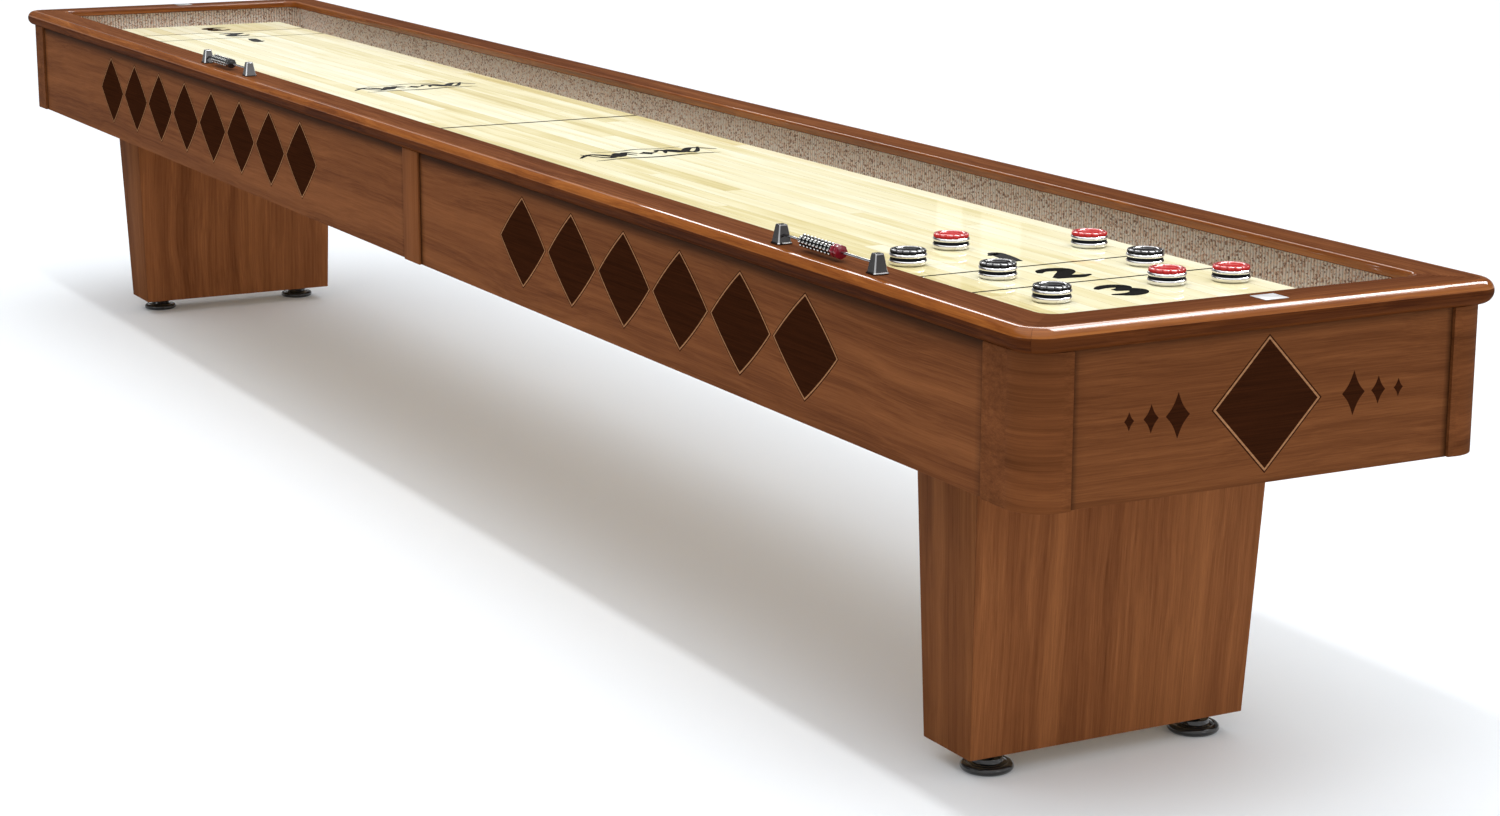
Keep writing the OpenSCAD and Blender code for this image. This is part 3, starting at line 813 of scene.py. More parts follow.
def add_inlay(bm, outline, plane, at, sign, thick, mat):
    """Thin raised shape on an upright face. The outline is in the face's own right and up."""
    front, back = [], []
    for a, z in outline:
        for ring, depth in ((back, -INLAY_SUNK), (front, thick)):
            out = at + sign * depth
            ring.append(bm.verts.new((out, a, z) if plane == "X" else (a, out, z)))
    for face in (front, back[::-1]):
        bm.faces.new(face).material_index = mat
    join_rings(bm, back, front, mat)


def add_outlined(bm, centre, size, plane, at, sign, pinch, border):
    """Dark four-pointed shape with a fine light line and a dark line round it."""
    for grow, thick, mat in ((border, 0.15, 0), (border * 0.72, 0.22, 1), (border * 0.3, 0.29, 0)):
        w, h = size[0] + 2 * grow, size[1] + 2 * grow
        add_inlay(bm, diamond(*centre, w, h, pinch), plane, at, sign, thick * MM, mat)


def make_side_inlay(side, name, x0, x1, count):
    """A row of diamonds along one side panel."""
    z = APRON_MIDDLE + SIDE_DIAMOND_UP
    pitch = (x1 - x0) / count
    size = (pitch * 0.9, SIDE_DIAMOND_H)
    bm = bmesh.new()
    for k in range(count):
        centre = (x0 + pitch * (k + 0.5), z)
        add_outlined(bm, centre, size, "Y", SIDES[side] * PANEL_Y, SIDES[side], -0.04, 8 * MM)
    finish_piece(bm, name, TABLE, ["inlay", "inlay_line"], along="X", seed=name)


def make_end_inlay(end):
    """One large diamond with three small pinched ones at each side."""
    sign = ENDS[end]
    at = sign * PANEL_X
    z = APRON_MIDDLE + END_DIAMOND_UP
    bm = bmesh.new()
    add_outlined(bm, (0.0, z), END_DIAMOND, "X", at, sign, 0.0, 10 * MM)
    for s in (-1, 1):
        for y, size in SMALL_DIAMONDS:
            small = diamond(s * y * MM, z, size * 0.62 * MM, size * MM, 0.16)
            add_inlay(bm, small, "X", at, sign, 0.25 * MM, 0)
    finish_piece(bm, "inlay_end_" + end, TABLE, ["inlay", "inlay_line"], along="Y", seed=end)


# ---------------------------------------------------------------- gutter carpet

CARPET_T = 5 * MM
RIB_PITCH = 7.5 * MM
RIB_DEEP = 1.4 * MM
FILLET = 12 * MM
FLOOR_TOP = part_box("gutter_floor")[1].z
WALL_D = HALF_Y - (PANEL_Y - PANEL_T)
CARPET_GAP = 0.2 * MM
QUARTER = math.pi / 4


def carpet_profile(width):
    """(distance in from the wall, height, outward normal) down the wall and across the floor."""
    base = FLOOR_TOP + CARPET_T
    wall_steps, bend_steps, floor_steps = 12, 6, 10
    drop = (LIP_BOTTOM - base - FILLET) / wall_steps
    points = [(CARPET_T, LIP_BOTTOM - CARPET_GAP - s * drop, (1, 0)) for s in range(wall_steps)]
    for k in range(bend_steps + 1):
        a = math.pi / 2 * k / bend_steps
        d, z = CARPET_T + FILLET - FILLET * math.cos(a), base + FILLET - FILLET * math.sin(a)
        points.append((d, z, (math.cos(a), math.sin(a))))
    span = width - CARPET_T - FILLET
    steps = range(1, floor_steps + 1)
    return points + [(CARPET_T + FILLET + span * k / floor_steps, base, (0, 1)) for k in steps]


def carpet_samples(inner_r, length):
    """(share of the straight, turn into a corner, length along) for each column of the carpet."""
    step = RIB_PITCH / 4
    corner = max(2, int(inner_r * QUARTER / step))
    count = int(2 * length / step)
    turns = [QUARTER * k / corner for k in range(1, corner + 1)]
    samples = [(-1, -a, -length - inner_r * a) for a in turns[::-1]]
    samples += [(2 * k / count - 1, 0.0, length * (2 * k / count - 1)) for k in range(count + 1)]
    return samples + [(1, a, length + inner_r * a) for a in turns]


def make_carpet(side):
    """Carpet down one wall and over its gutter floor, with ribs square to the table's edge."""
    node = "gutter_carpet_" + side
    long_side = side in ("front", "back")
    reach, half, place = side_frame(side)
    wall = reach - WALL_D
    width = wall - (FIELD_HI.y if long_side else FIELD_HI.x) - 1.0 * MM
    inner_r = CABINET_R - PANEL_T
    bm = bmesh.new()
    tone = vertex_layer(bm, "float", "tone")
    samples = carpet_samples(inner_r, half - WALL_D - inner_r)
    rows, shades = [], []
    for d, z, (out, up) in carpet_profile(width):
        radius = max(inner_r - d, 0.5 * MM)
        straight = half - WALL_D - d - radius
        if not long_side:
            straight = max(straight, FIELD_HI.y)
        row, shade = [], []
        for share, a, s in samples:
            swell = 0.5 + 0.5 * math.sin(2 * math.pi * s / RIB_PITCH)
            jitter = 0.35 * math.sin(s * 911.0 + z * 370.0) * math.sin(d * 830.0 + s * 127.0)
            lift = RIB_DEEP * (swell + jitter - 1.0)
            u = straight * share + (radius - out * lift) * math.sin(a)
            v = wall - d - radius + (radius - out * lift) * math.cos(a)
            row.append((*place(u, v), z + up * lift))
            # How high the rib stands here; the material paints shade where it is low.
            shade.append(max(0.0, min(1.0, swell + jitter * 0.5)))
        rows.append(row)
        shades.append(shade)
    add_grid(bm, rows, tone, shades)
    finish_piece(bm, "ribbed_" + node, TABLE, ["carpet"], [node], smooth=180)


# ---------------------------------------------------------------- playfield

STRIP_COUNT = 13
STRIP_SHORT = 0.75
STRIP_LONG = 1.9
SEAM = 0.5 * MM
FIELD_EDGE = 3 * MM
LINE_X = (1.857, 2.001)
LINE_W = 6 * MM
MIDLINE_W = 10 * MM
MARK_UP = 0.12 * MM


def make_playfield():
    """Edge-glued maple strips: each has its own tone, and butt joints fall at random."""
    bm = bmesh.new()
    grain = vertex_layer(bm, "float_vector", "grain")
    tone = vertex_layer(bm, "float", "tone")
    seeds = random.Random(41)
    x0, x1 = FIELD_LO.x + FIELD_EDGE, FIELD_HI.x - FIELD_EDGE
    y0, y1 = FIELD_LO.y + FIELD_EDGE, FIELD_HI.y - FIELD_EDGE
    strip_w = (y1 - y0) / STRIP_COUNT

    def add_strip(xa, xb, ya, yb, mat=1, value=0.5, offset=Vector((0, 0, 0))):
        face = ribbon(bm, xa, xb, ya, yb, FIELD_HI.z)
        face.material_index = mat
        for v in face.verts:
            v[grain] = Vector((v.co.x, v.co.y, 0.0)) + offset
            v[tone] = value

    for row in range(STRIP_COUNT):
        ya = y0 + row * strip_w
        yb = ya + strip_w
        if row:
            add_strip(x0, x1, ya - SEAM / 2, ya + SEAM / 2)
        ya += SEAM / 2 if row else 0.0
        yb -= SEAM / 2 if row < STRIP_COUNT - 1 else 0.0
        x = x0 - seeds.uniform(0, STRIP_SHORT)
        while x < x1:
            end = x + seeds.uniform(STRIP_SHORT, STRIP_LONG)
            if x1 - end < STRIP_SHORT * 0.5:
                end = x1
            a, b = max(x, x0), min(end, x1)
            offset = drawn_offset(seeds, 9)
            stop = b - (SEAM if b < x1 else 0.0)
            add_strip(a, stop, ya, yb, 0, seeds.random(), offset)
            if b < x1:
                add_strip(stop, b, ya, yb)
            x = end
    add_field_sides(bm, grain, tone)
    finish_piece(bm, "maple_playfield", TABLE, ["maple", "seam"], ["playfield"], smooth=40)


def add_field_sides(bm, grain, tone):
    """Rounded upper edge, sides and underside of the playfield."""
    ease = FIELD_EDGE
    turns = [math.pi / 2 * k / 4 for k in range(4, -1, -1)]
    levels = [(ease - ease * math.cos(a), FIELD_HI.z - ease + ease * math.sin(a)) for a in turns]
    rings = []
    for d, z in levels + [(0.0, FIELD_LO.z + MM), (MM, FIELD_LO.z)]:
        xa, xb, ya, yb = FIELD_LO.x + d, FIELD_HI.x - d, FIELD_LO.y + d, FIELD_HI.y - d
        ring = [bm.verts.new((x, y, z)) for x, y in ((xa, ya), (xb, ya), (xb, yb), (xa, yb))]
        for v in ring:
            v[grain] = Vector((v.co.x, v.co.y + v.co.z * 3, v.co.z))
            v[tone] = 0.3
        rings.append(ring)
    for low, high in zip(rings, rings[1:]):
        join_rings(bm, low, high, 0)
    bm.faces.new(rings[-1][::-1])


def stroke(bm, points, widths, z, flip, origin):
    """A brush stroke: a ribbon along smooth points with changing width, all in mm.
    Points are in the mark's own right and up; flip turns the mark half round."""
    fine, size = [], []
    n = len(points)
    for i in range(n - 1):
        p = [points[max(i - 1, 0)], points[i], points[i + 1], points[min(i + 2, n - 1)]]
        for s in range(8):
            fine.append([catmull(*(q[k] * MM for q in p), s / 8) for k in range(2)])
            size.append((widths[i] + (widths[i + 1] - widths[i]) * s / 8) * MM)
    fine.append([c * MM for c in points[-1]])
    size.append(widths[-1] * MM)
    pairs = []
    for i, (x, y) in enumerate(fine):
        ax, ay = fine[max(i - 1, 0)]
        bx, by = fine[min(i + 1, len(fine) - 1)]
        length = math.hypot(bx - ax, by - ay) or 1.0
        nx, ny = -(by - ay) / length, (bx - ax) / length
        sides = [(x + nx * size[i] * s, y + ny * size[i] * s) for s in (0.5, -0.5)]
        pairs.append([bm.verts.new((origin[0] - flip * b, origin[1] + flip * a, z)) for a, b in sides])
    for (la, ra), (lb, rb) in zip(pairs, pairs[1:]):
        bm.faces.new((la, lb, rb, ra))


def catmull(a, b, c, d, t):
    return 0.5 * (2 * b + (c - a) * t + (2 * a - 5 * b + 4 * c - d) * t * t + (3 * b - a - 3 * c + d) * t ** 3)


NUMERALS = {
    "1": [([(-14, 25), (-3, 33), (5, 36), (2, 0), (-2, -36)], [5, 15, 26, 27, 20])],
    "2": [
        ([(-29, 15), (-16, 30), (6, 32), (19, 23), (13, 7), (-5, -10), (-25, -26)], [7, 19, 27, 30, 28, 24, 14]),
        ([(-31, -28), (-8, -25), (14, -29), (37, -24)], [12, 26, 24, 5]),
    ],
    "3": [
        ([(-29, 19), (-12, 30), (8, 31), (18, 21), (10, 8), (-9, 3)], [7, 20, 26, 28, 22, 13]),
        ([(-9, 3), (13, 0), (23, -12), (13, -27), (-6, -32), (-31, -23)], [13, 23, 29, 28, 24, 7]),
    ],
}
NUMERAL_AT = {"1": (1.780, -0.013), "2": (1.932, -0.012), "3": (2.084, -0.012)}
ORNAMENT_X = (-0.670, 0.508)


def make_marks():
    """Scoring lines, numerals and two plain ornaments printed on the playfield."""
    bm = bmesh.new()
    z = FIELD_HI.z + MARK_UP
    half = FIELD_HI.y - FIELD_EDGE
    layers = 0
    for x, width in [(sign * x, LINE_W) for sign in (1, -1) for x in LINE_X] + [(0.0, MIDLINE_W)]:
        ribbon(bm, x - width / 2, x + width / 2, -half, half, z)
    for digit, strokes in NUMERALS.items():
        x, y = NUMERAL_AT[digit]
        for end in (1, -1):
            for points, widths in strokes:
                layers += 1
                stroke(bm, points, widths, z + layers * 0.002 * MM, end, (end * x, end * y))
    for x in ORNAMENT_X:
        add_ornament(bm, x, z)
    finish_piece(bm, "playfield_marks", TABLE, ["ink"])


def ribbon(bm, xa, xb, ya, yb, z):
    return bm.faces.new([bm.verts.new((x, y, z)) for x, y in ((xa, ya), (xb, ya), (xb, yb), (xa, yb))])


FLOURISH = (
    ([(-134, -6), (-98, 20), (-62, -10), (-34, 18), (-18, 2)], [4, 15, 20, 14, 4]),
    ([(-116, 26), (-82, -18), (-50, 15), (-28, -13)], [4, 13, 15, 4]),
    ([(-108, -38), (-60, -32), (0, -39), (64, -32), (122, -38)], [2, 8, 11, 8, 2]),
    ([(-88, 38), (-40, 33), (0, 41), (40, 33), (88, 38)], [2, 5, 7, 5, 2]),
)
FLOURISH_WIDE = 1.08
FLOURISH_HIGH = 1.35


def add_ornament(bm, x, z):
    """Plain diamond between two mirrored flourishes across the table, over brush lines."""
    bm.faces.new([bm.verts.new((a, b, z)) for a, b in diamond(x, 0.0, 38 * MM, 40 * MM, 0.1)])
    for n, (points, widths) in enumerate(FLOURISH):
        for mirror in (1, -1):
            line = [(mirror * a * FLOURISH_WIDE, b * FLOURISH_HIGH) for a, b in points]
            stroke(bm, line, widths, z + (2 * n + mirror) * 0.003 * MM, 1, (x, 0.0))


# ---------------------------------------------------------------- legs


def make_leg(end):
    """Four tapered mitred panels. The frame and its base board stay inside."""
    lo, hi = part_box(f"leg_{end}_outer_panel")
    for kind in ("outer_panel", "inner_panel", "side_panels"):
        node = f"leg_{end}_{kind}"
        bm = bmesh.new()
        for corners in leg_corners(node, lo.z, hi.z):
            add_hexahedron(bm, corners, 1.2 * MM)
        grain_upright(bm, node, 0 if kind == "side_panels" else 1)
        # The side panels sit under the cabinet's overhang and get painted shade.
        if kind == "side_panels":
            paint_shade_all(bm, LEG_SIDE_PAINTED_SHADE)
        finish_piece(bm, "veneered_" + node, TABLE, ["leg"], [node])


def paint_shade_all(bm, shade):
    """Paints shade over a whole piece."""
    tone = vertex_layer(bm, "float", "tone")
    for v in bm.verts:
        v[tone] = max(v[tone], shade)


def grain_upright(bm, seed, across):
    """Grain up the panel, and across it along one axis of the plan."""
    offset = drawn_offset(random.Random(seed))
    grain = vertex_layer(bm, "float_vector", "grain")
    for v in bm.verts:
        v[grain] = Vector((v.co.z, v.co[across], v.co[1 - across] * 0.2)) + offset


def leg_corners(node, z0, z1):
    """The eight corners of each panel of a node, read from its own mesh."""
    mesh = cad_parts[node].data
    points = sorted({tuple(round(c, 5) for c in v.co) for v in mesh.vertices})
    groups = {}
    for p in points:
        key = 0 if "side" not in node else (1 if p[1] > 0 else -1)
        groups.setdefault(key, []).append(p)
    for group in groups.values():
        low = ordered([p for p in group if abs(p[2] - z0) < 1e-4])
        high = ordered([p for p in group if abs(p[2] - z1) < 1e-4])
        yield low + high


def ordered(points):
    """Anticlockwise from above, starting at the same corner."""
    cx = sum(p[0] for p in points) / len(points)
    cy = sum(p[1] for p in points) / len(points)
    return sorted(points, key=lambda p: math.atan2(p[1] - cy, p[0] - cx))


# ---------------------------------------------------------------- feet


def make_foot(side, end):
    """Thick round-rimmed disc with a collar, threaded stem, and a lock nut under the base board."""
    node = f"leveling_foot_{side}_{end}"
    lo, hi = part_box(node)
    cx, cy = (lo.x + hi.x) / 2, (lo.y + hi.y) / 2
    r = (hi.x - lo.x) / 2 / MM
    rim = 6.5
    profile = [(0, 0), (r - rim, 0)]
    for k in range(1, 12):
        a = math.pi * k / 12
        profile.append((r - rim + rim * math.sin(a), rim - rim * math.cos(a)))
    profile += [(r - rim, 13), (r - 9, 13.2), (r - 10, 12.6), (r - 11, 13.3), (24.6, 14.3), (24, 15.2)]
    profile += [(24, 19.5), (23.5, 20.6), (22.5, 21), (8, 21), (0, 21)]
    bm = bmesh.new()
    add_lathe(bm, [(a * MM, h * MM) for a, h in profile], (cx, cy, 0), segments=64)
    nut_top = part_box("leg_frames")[0].z - 0.3 * MM
    add_hex(bm, (cx, cy), 12 * MM, nut_top - 8 * MM, nut_top)
    add_thread(bm, (cx, cy), 6 * MM, 21 * MM, hi.z, 1.75 * MM)
    body = f"foot_{side}_{end}"
    finish_piece(bm, "glossy_" + node, body, ["foot"], [node], smooth=40)


def add_hex(bm, at, r, z0, z1):
    outline = [(at[0] + r * math.cos(math.pi / 3 * k), at[1] + r * math.sin(math.pi / 3 * k)) for k in range(6)]
    add_prism(bm, outline, z0, z1, 0.8 * MM)


def add_thread(bm, at, r, z0, z1, pitch):
    """Stem with one groove for each turn of the thread."""
    profile = [(0, z0)]
    z = z0
    while z + pitch < z1:
        profile += [(r - 0.9 * MM, z), (r, z + pitch * 0.45), (r, z + pitch * 0.6)]
        z += pitch
    profile += [(r - 1.2 * MM, z1), (0, z1)]
    add_lathe(bm, profile, (at[0], at[1], 0), segments=24)


# ---------------------------------------------------------------- scorers


POST_TIP = 6.5 * MM
POST_RECESS = 3 * MM


def make_posts():
    """Square posts on a low step, with bright bevelled corners and a round recess in the top."""
    bm = bmesh.new()
    for lo, hi in islands("scorer_posts"):
        cx, cy = (lo[0] + hi[0]) / 2, (lo[1] + hi[1]) / 2
        half, height = (hi[0] - lo[0]) / 2, hi[2] - lo[2]
        levels = [(half, 0.0), (half, 2 * MM), (half - 1.4 * MM, 3.4 * MM), (POST_TIP + 0.7 * MM, height - 1.6 * MM)]
        levels += [(POST_TIP, height), (POST_TIP * 0.64, height), (POST_TIP * 0.6, height - POST_RECESS)]
        rings = []
        for n, (r, h) in enumerate(levels):
            corner = r * (0.18 if n < 5 else 0.55)
            plan = [(r, -r + corner), (r, r - corner), (r - corner, r), (-r + corner, r),
                    (-r, r - corner), (-r, -r + corner), (-r + corner, -r), (r - corner, -r)]
            rings.append([bm.verts.new((cx + x, cy + y, lo[2] + h)) for x, y in plan])
        for n, (low, high) in enumerate(zip(rings, rings[1:])):
            for i in range(8):
                f = bm.faces.new((low[i], low[(i + 1) % 8], high[(i + 1) % 8], high[i]))
                f.material_index = 1 if (i % 2 and n in (1, 2)) or n in (3, 4) else 0
        bm.faces.new(rings[0][::-1])
        bm.faces.new(rings[-1])
    keys = ["dark_chrome", "steel"]
    finish_piece(bm, "turned_scorer_posts", TABLE, keys, ["scorer_posts"], smooth=12)


def make_rods():
    """Polished rods with a rounded end outside each post."""
    bm = bmesh.new()
    for lo, hi in islands("scorer_rods"):
        cy, cz = (lo[1] + hi[1]) / 2, (lo[2] + hi[2]) / 2
        r, length = (hi[2] - lo[2]) / 2, hi[0] - lo[0]
        end = [(0, 0), (r * 0.6, 0.15 * MM), (r * 0.92, 0.7 * MM), (r, 1.6 * MM)]
        profile = end + [(a, length - h) for a, h in end[::-1]]
        add_lathe(bm, profile, (lo[0], cy, cz), axis="X", segments=24)
    finish_piece(bm, "polished_scorer_rods", TABLE, ["steel"], ["scorer_rods"])


BEAD_BORE = 2.1 * MM
BEAD_EASE = 0.9 * MM
FLUTES = 8
VALLEY_SHADE_SHARE = 0.6


def make_beads(end, colour, mats, depth, band):
    """Fluted beads whose shoulders and flute valleys take the second material, black painted shade on the silver
    beads. band is the share of the width with the full radius.
    """
    bm = bmesh.new()
    node = f"{colour}_beads_{end}"
    for lo, hi in islands(node):
        cy, cz = (lo[1] + hi[1]) / 2, (lo[2] + hi[2]) / 2
        r, width = (hi[2] - lo[2]) / 2, hi[0] - lo[0]
        shoulder = width * (1 - band) / 2
        half = [(BEAD_BORE, 0.0), (r * 0.56, 0.0), (r * 0.7, shoulder * 0.7), (r - BEAD_EASE * 1.6, shoulder)]
        half += [(r - BEAD_EASE * 0.4, shoulder + BEAD_EASE * 0.4), (r, shoulder + BEAD_EASE * 1.4)]
        profile = half + [(a, width - h) for a, h in reversed(half)] + [half[0]]

        def ripple(k, a):
            if not 3 <= k <= 8:
                return 1.0
            return 1.0 - depth * (0.5 - 0.5 * math.cos(FLUTES * a)) ** 1.5

        made = set(bm.faces)
        # The shoulders take the second material, painted shade on the silver beads.
        around = [1, 1, 1, 0, 0, 0, 0, 0, 1, 1, 1, 1]
        add_lathe(bm, profile, (lo[0], cy, cz), axis="X", segments=FLUTES * 6, mats=around, ripple=ripple)
        # Faces deep in a flute take it too, as painted shade.
        for f in set(bm.faces) - made:
            at = f.calc_center_median()
            if math.hypot(at.y - cy, at.z - cz) < r * (1 - depth * VALLEY_SHADE_SHARE):
                f.material_index = 1
    finish_piece(bm, "fluted_" + node, f"beads_{end}_{colour}", mats, [node], smooth=40)


# ---------------------------------------------------------------- weights


# (distance in from the rim, height) in mm, for a weight 19 mm high. The waist is enamelled.
WEIGHT_HIGH = 19
WEIGHT_PROFILE = (
    ((9, 0.5), (7.5, 0), (5, 0), (3, 0.5), (1.5, 1.7), (0.5, 3.4), (0, 5.4), (0, 6.3), (0.3, 7.3), (1.1, 8.1))
    + ((1.7, 8.5), (1.7, 12.6), (1.1, 13), (0.3, 13.7), (0, 14.5), (0, 15.6), (0.5, 17.1), (1.6, 18.2), (3.2, 19))
)
WAIST = (8.1, 12.6)


def make_weight(colour, number):
    """Chromed puck with an enamelled waist, and a moulded cap with a fluted ring."""
    tag = f"{colour}_{number}"
    body = "weight_" + tag
    lo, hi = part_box(body)
    cx, cy = (lo.x + hi.x) / 2, (lo.y + hi.y) / 2
    r, stretch = (hi.x - lo.x) / 2, (hi.z - lo.z) / WEIGHT_HIGH
    bm = bmesh.new()
    profile = [(r - inset * MM, z * stretch) for inset, z in WEIGHT_PROFILE]
    profile = [(0, profile[0][1])] + profile + [(0, profile[-1][1])]
    mats = [0] + [int(WAIST[0] <= z <= WAIST[1]) for _, z in WEIGHT_PROFILE]
    add_lathe(bm, profile, (cx, cy, lo.z), segments=72, mats=mats)
    finish_piece(bm, "chromed_" + body, body, ["chrome", "waist"], [body], smooth=35)
    make_cap(colour, tag, body, cx, cy, hi.z)


# (distance in from the rim, distance below the top) in mm, round the fluted ring and over the
# dished middle.
CAP_RING = ((0, 2.4), (0.6, 1.0), (2.0, 0.2), (4.0, 0.0), (6.4, 0.2), (8.4, 1.4))
CAP_MIDDLE = ((9.4, 2.6), (13, 2.8), (13.8, 1.6), (15, 1.2))
CAP_DISC_DEEP = 1.4 * MM
CAP_KNOBS = 14


def make_cap(colour, tag, body, cx, cy, z):
    """Moulded cap: a glossy ring of rounded knobs round a dished matt middle with a raised disc."""
    node = "cap_" + tag
    lo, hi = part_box(node)
    r, h = (hi.x - lo.x) / 2, hi.z - z
    bm = bmesh.new()
    profile = [(0, 0), (r - 0.6 * MM, 0), (r, 0.6 * MM)]
    profile += [(r - inset * MM, h - below * MM) for inset, below in CAP_RING + CAP_MIDDLE]
    profile.append((0, h - CAP_DISC_DEEP))
    mats = [0, 0, 0, 1, 1, 1, 1, 1, 0, 0, 0, 0, 0]

    def ripple(k, a):
        if not 1 <= k <= 8:
            return 1.0
        notch = max(0.0, math.cos(CAP_KNOBS * a)) ** 4
        return 1.0 - (0.07 if k <= 4 else 0.03) * notch

    add_lathe(bm, profile, (cx, cy, z), segments=CAP_KNOBS * 10, mats=mats, ripple=ripple)
    for k in range(CAP_KNOBS):
        add_knob(bm, (cx, cy, z + h - KNOB_HIGH), 2 * math.pi * (k + 0.5) / CAP_KNOBS, r - KNOB_IN)
    keys = [colour + "_cap", colour + "_ring"]
    finish_piece(bm, "fluted_" + node, body, keys, [node], smooth=28)


KNOB_LONG = 3.6 * MM
KNOB_WIDE = 2.3 * MM
KNOB_HIGH = 1.7 * MM
KNOB_IN = 4.4 * MM


def add_knob(bm, centre, angle, reach):
    """Low rounded bar across the cap's ring."""
    rings = []
    for share in (0.0, 0.45, 0.75, 0.93):
        out = math.sqrt(1 - share * share)
        ring = []
        for k in range(12):
            a = 2 * math.pi * k / 12
            u = reach + KNOB_LONG * out * math.cos(a)
            v = KNOB_WIDE * out * math.sin(a)
            x = centre[0] + u * math.cos(angle) - v * math.sin(angle)
            y = centre[1] + u * math.sin(angle) + v * math.cos(angle)
            ring.append(bm.verts.new((x, y, centre[2] + KNOB_HIGH * share)))
        rings.append(ring)
    for low, upper in zip(rings, rings[1:]):
        join_rings(bm, low, upper, 1)
    for ring in (rings[-1], rings[0][::-1]):
        bm.faces.new(ring).material_index = 1


# ---------------------------------------------------------------- hardware and structure


def make_boxes(node, key):
    """Planed boards, one for each solid of a node."""
    bm = bmesh.new()
    for lo, hi in islands(node):
        add_box(bm, lo, hi, PANEL_EASE)
    finish_piece(bm, "planed_" + node, TABLE, [key], [node])


def dress(node, key):
    """Gives a CAD node that keeps its own shape a procedural material."""
    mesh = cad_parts[node].data
    mesh.materials.clear()
    mesh.materials.append(M[key])


def make_plates():
    """Small blank plate with two screw heads let into the top of each end rail."""
    bm = bmesh.new()
    size_x, size_y, thick = 36 * MM, 40 * MM, 0.9 * MM
    inset, screw_in = 48 * MM, 5 * MM
    head = [(0, 0), (1.6 * MM, 0), (1.5 * MM, 0.3 * MM), (0.9 * MM, 0.6 * MM), (0, 0.7 * MM)]
    for sign in (1, -1):
        cx, cy = sign * (HALF_X - inset), 20 * MM
        lo = (cx - size_x / 2, cy - size_y / 2, RAIL_TOP - thick)
        hi = (cx + size_x / 2, cy + size_y / 2, RAIL_TOP + thick)
        add_box(bm, lo, hi, 0.25 * MM)
        for s in (-1, 1):
            add_lathe(bm, head, (cx, cy + s * (size_y / 2 - screw_in), RAIL_TOP + thick), segments=16)
    finish_piece(bm, "rail_plates", TABLE, ["plate"])


# ---------------------------------------------------------------- stage and light


FLOOR_GLOW = 0.04


def make_stage():
    """Plain pale floor. A faint glow of its own keeps the shadow under the table light."""
    mat = new_material("studio_floor")
    tone = noise(mat, place_vector(mat), 0.6, 2.0)
    colour = ramp(mat, tone, [(0.3, (0.825, 0.865, 0.905)), (0.7, (0.845, 0.885, 0.925))])
    surface(
        mat,
        Base_Color=colour,
        Roughness=0.9,
        Specular_IOR_Level=0.05,
        Emission_Color=(1.0, 1.0, 1.0, 1.0),
        Emission_Strength=FLOOR_GLOW,
    )
    bpy.ops.mesh.primitive_plane_add(size=120.0, location=(0, 0, 0))
    floor = bpy.context.object
    floor.name = "floor"
    floor.data.materials.append(mat)


def area_light(name, at, aim, size, power, diffuse, glossy):
    data = bpy.data.lights.new(name, "AREA")
    data.shape = "RECTANGLE"
    data.size, data.size_y = size
    data.energy = power
    light = bpy.data.objects.new(name, data)
    bpy.context.scene.collection.objects.link(light)
    light.visible_diffuse = diffuse
    light.visible_glossy = glossy
    light.location = at
    light.rotation_euler = (Vector(aim) - Vector(at)).to_track_quat("-Z", "Y").to_euler()


SKY = 2.0
SKY_SPLIT = ((0.0, 0.0), (0.35, 1.0))
FAR_SKY = ((0.0, 0.3), (0.115, 0.28), (0.155, 0.07), (0.55, 0.07), (0.74, 0.8), (1.0, 1.0))
NEAR_SKY = ((0.0, 0.4), (0.3, 0.45), (0.55, 0.3), (0.74, 0.8), (1.0, 1.0))

# Name, place, aim, size, power, and the surfaces that it lights. A panel for gloss only makes
# highlights, so it doesn't flatten the wood.
LIGHTS = (
    ("long_lamp", (0.8, -0.8, 4.2), (0.8, -0.8, 0.0), (6.8, 0.22), 62.0, "matt"),
    ("long_panel", (-1.4, 2.0, 3.6), (-1.4, 0.0, 0.8), (8.8, 1.2), 320.0, "gloss"),
    ("far_panel", (-9.0, 2.0, 3.6), (-9.0, 0.0, 0.8), (6.2, 1.2), 22.0, "gloss"),
    ("cross_panel", (1.7, 2.9, 3.8), (1.9, 0.0, 0.8), (1.4, 3.0), 280.0, "gloss"),
    ("front_box", (1.0, -7.5, 2.7), (1.0, 0.0, 0.7), (3.0, 1.6), 20.0, "all"),
    ("end_box", (9.0, 2.0, 2.6), (2.0, 0.0, 0.7), (2.4, 1.6), 20.0, "all"),
    ("window_left", (-8.26, 6.18, 3.0), (1.7, 0.0, 0.7), (0.14, 1.2), 0.24, "all"),
    ("window_right", (-8.11, 6.42, 3.0), (1.7, 0.0, 0.7), (0.22, 1.2), 0.36, "all"),
)


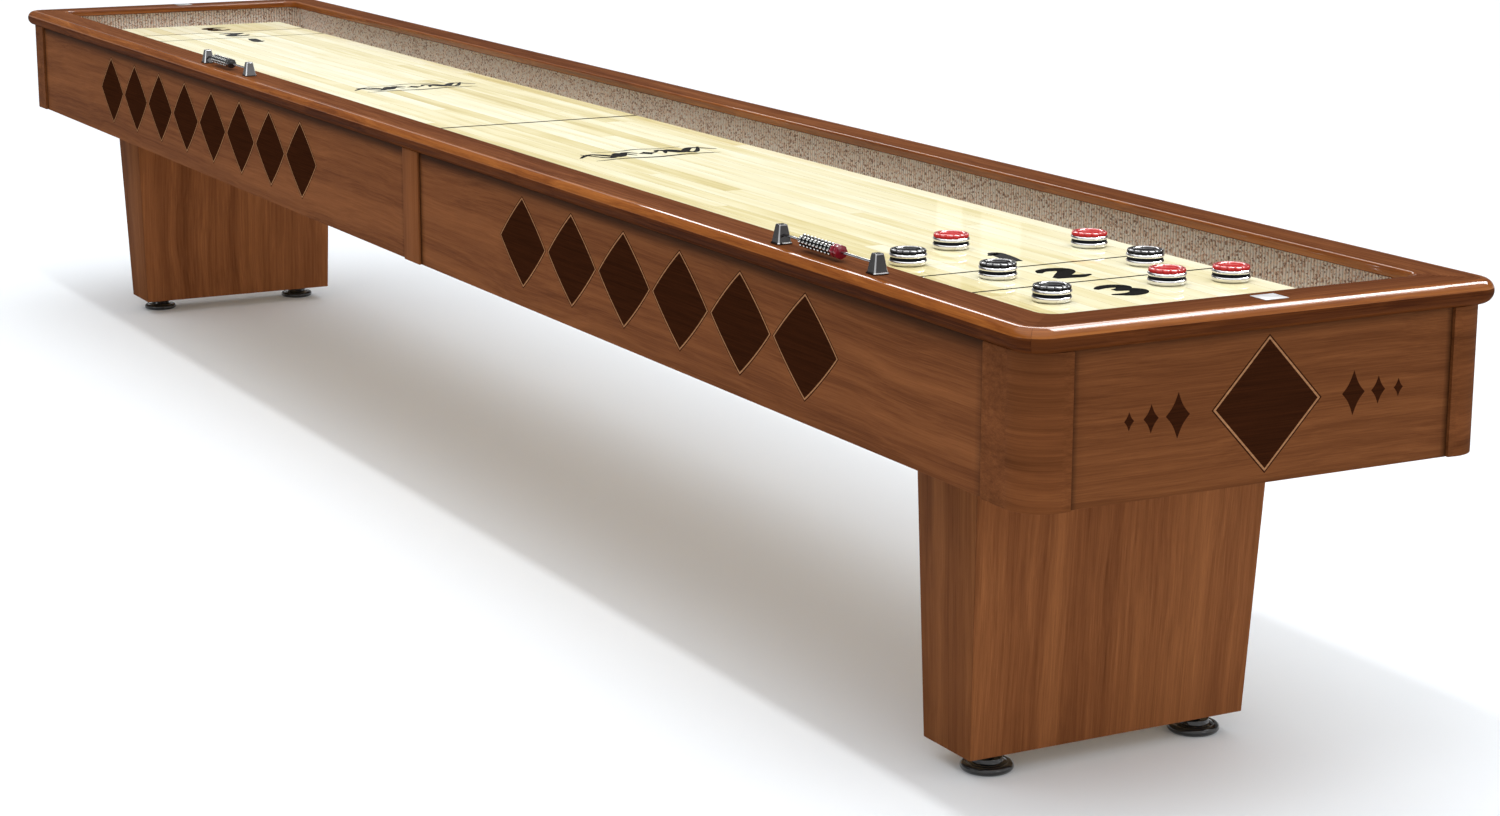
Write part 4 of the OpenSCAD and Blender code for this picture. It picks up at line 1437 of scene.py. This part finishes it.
def make_lights():
    """A sky that is dark past the far end, and long narrow lamps over the table."""
    world = bpy.data.worlds.new("studio")
    world.use_nodes = True
    bpy.context.scene.world = world
    coords = put(world, "ShaderNodeTexCoord").outputs["Generated"]
    split = put(world, "ShaderNodeSeparateXYZ", {"Vector": coords})
    side, far, near = (
        ramp(world, split.outputs[axis], [(place, (level, level, level)) for place, level in sky])
        for axis, sky in (("X", SKY_SPLIT), ("Z", FAR_SKY), ("Z", NEAR_SKY))
    )
    background = world.node_tree.nodes["Background"]
    world.node_tree.links.new(mix(world, side, far, near), background.inputs["Color"])
    background.inputs["Strength"].default_value = SKY
    for name, *place, seen_by in LIGHTS:
        area_light(name, *place, seen_by != "gloss", seen_by != "matt")
    bpy.context.scene.view_settings.view_transform = "Standard"
    bpy.context.scene.view_settings.look = "None"


# ---------------------------------------------------------------- build

make_camera()
make_stage()
make_lights()

for rail_side in ("front", "back", "near", "far"):
    make_rail(rail_side, ("rail_end_" if rail_side in ENDS else "rail_") + rail_side)

for n, panel_side in enumerate(SIDES):
    for m, panel_end in enumerate(ENDS):
        make_side_panel(f"side_panel_{panel_side}_{panel_end}", 10 * n + m)
        make_corner_block(panel_side, panel_end, 100 + 10 * n + m)
        make_foot(panel_side, panel_end)
    make_stile(panel_side)
    make_side_inlay(panel_side, f"inlay_{panel_side}_far", -1.80, -0.25, 8)
    make_side_inlay(panel_side, f"inlay_{panel_side}_near", 0.69, 1.92, 6)

for n, panel_end in enumerate(ENDS):
    make_end_panel(panel_end, 50 + n)
    make_end_inlay(panel_end)
    make_leg(panel_end)

for carpet_side in ("front", "back", "near", "far"):
    make_carpet(carpet_side)

make_playfield()
make_marks()
make_posts()
make_rods()
for bead_end, bead_colour in (("near", "red"), ("far", "black")):
    make_beads(bead_end, "silver", ["silver", "bead_painted_shade"], 0.2, 0.56)
    make_beads(bead_end, bead_colour, [bead_colour + "_bead"] * 2, 0.08, 0.84)

for cap_colour in ("red", "black"):
    for n in range(1, 5):
        make_weight(cap_colour, n)

make_boxes("cradle_runners", "wood_x")
make_boxes("cross_members", "wood_y")
make_boxes("leg_frames", "wood_y")
dress("gutter_floor", "wood_x")
for zinc_node in ("cabinet_bolts", "adjuster_brackets", "adjuster_rods"):
    dress(zinc_node, "zinc")
make_plates()
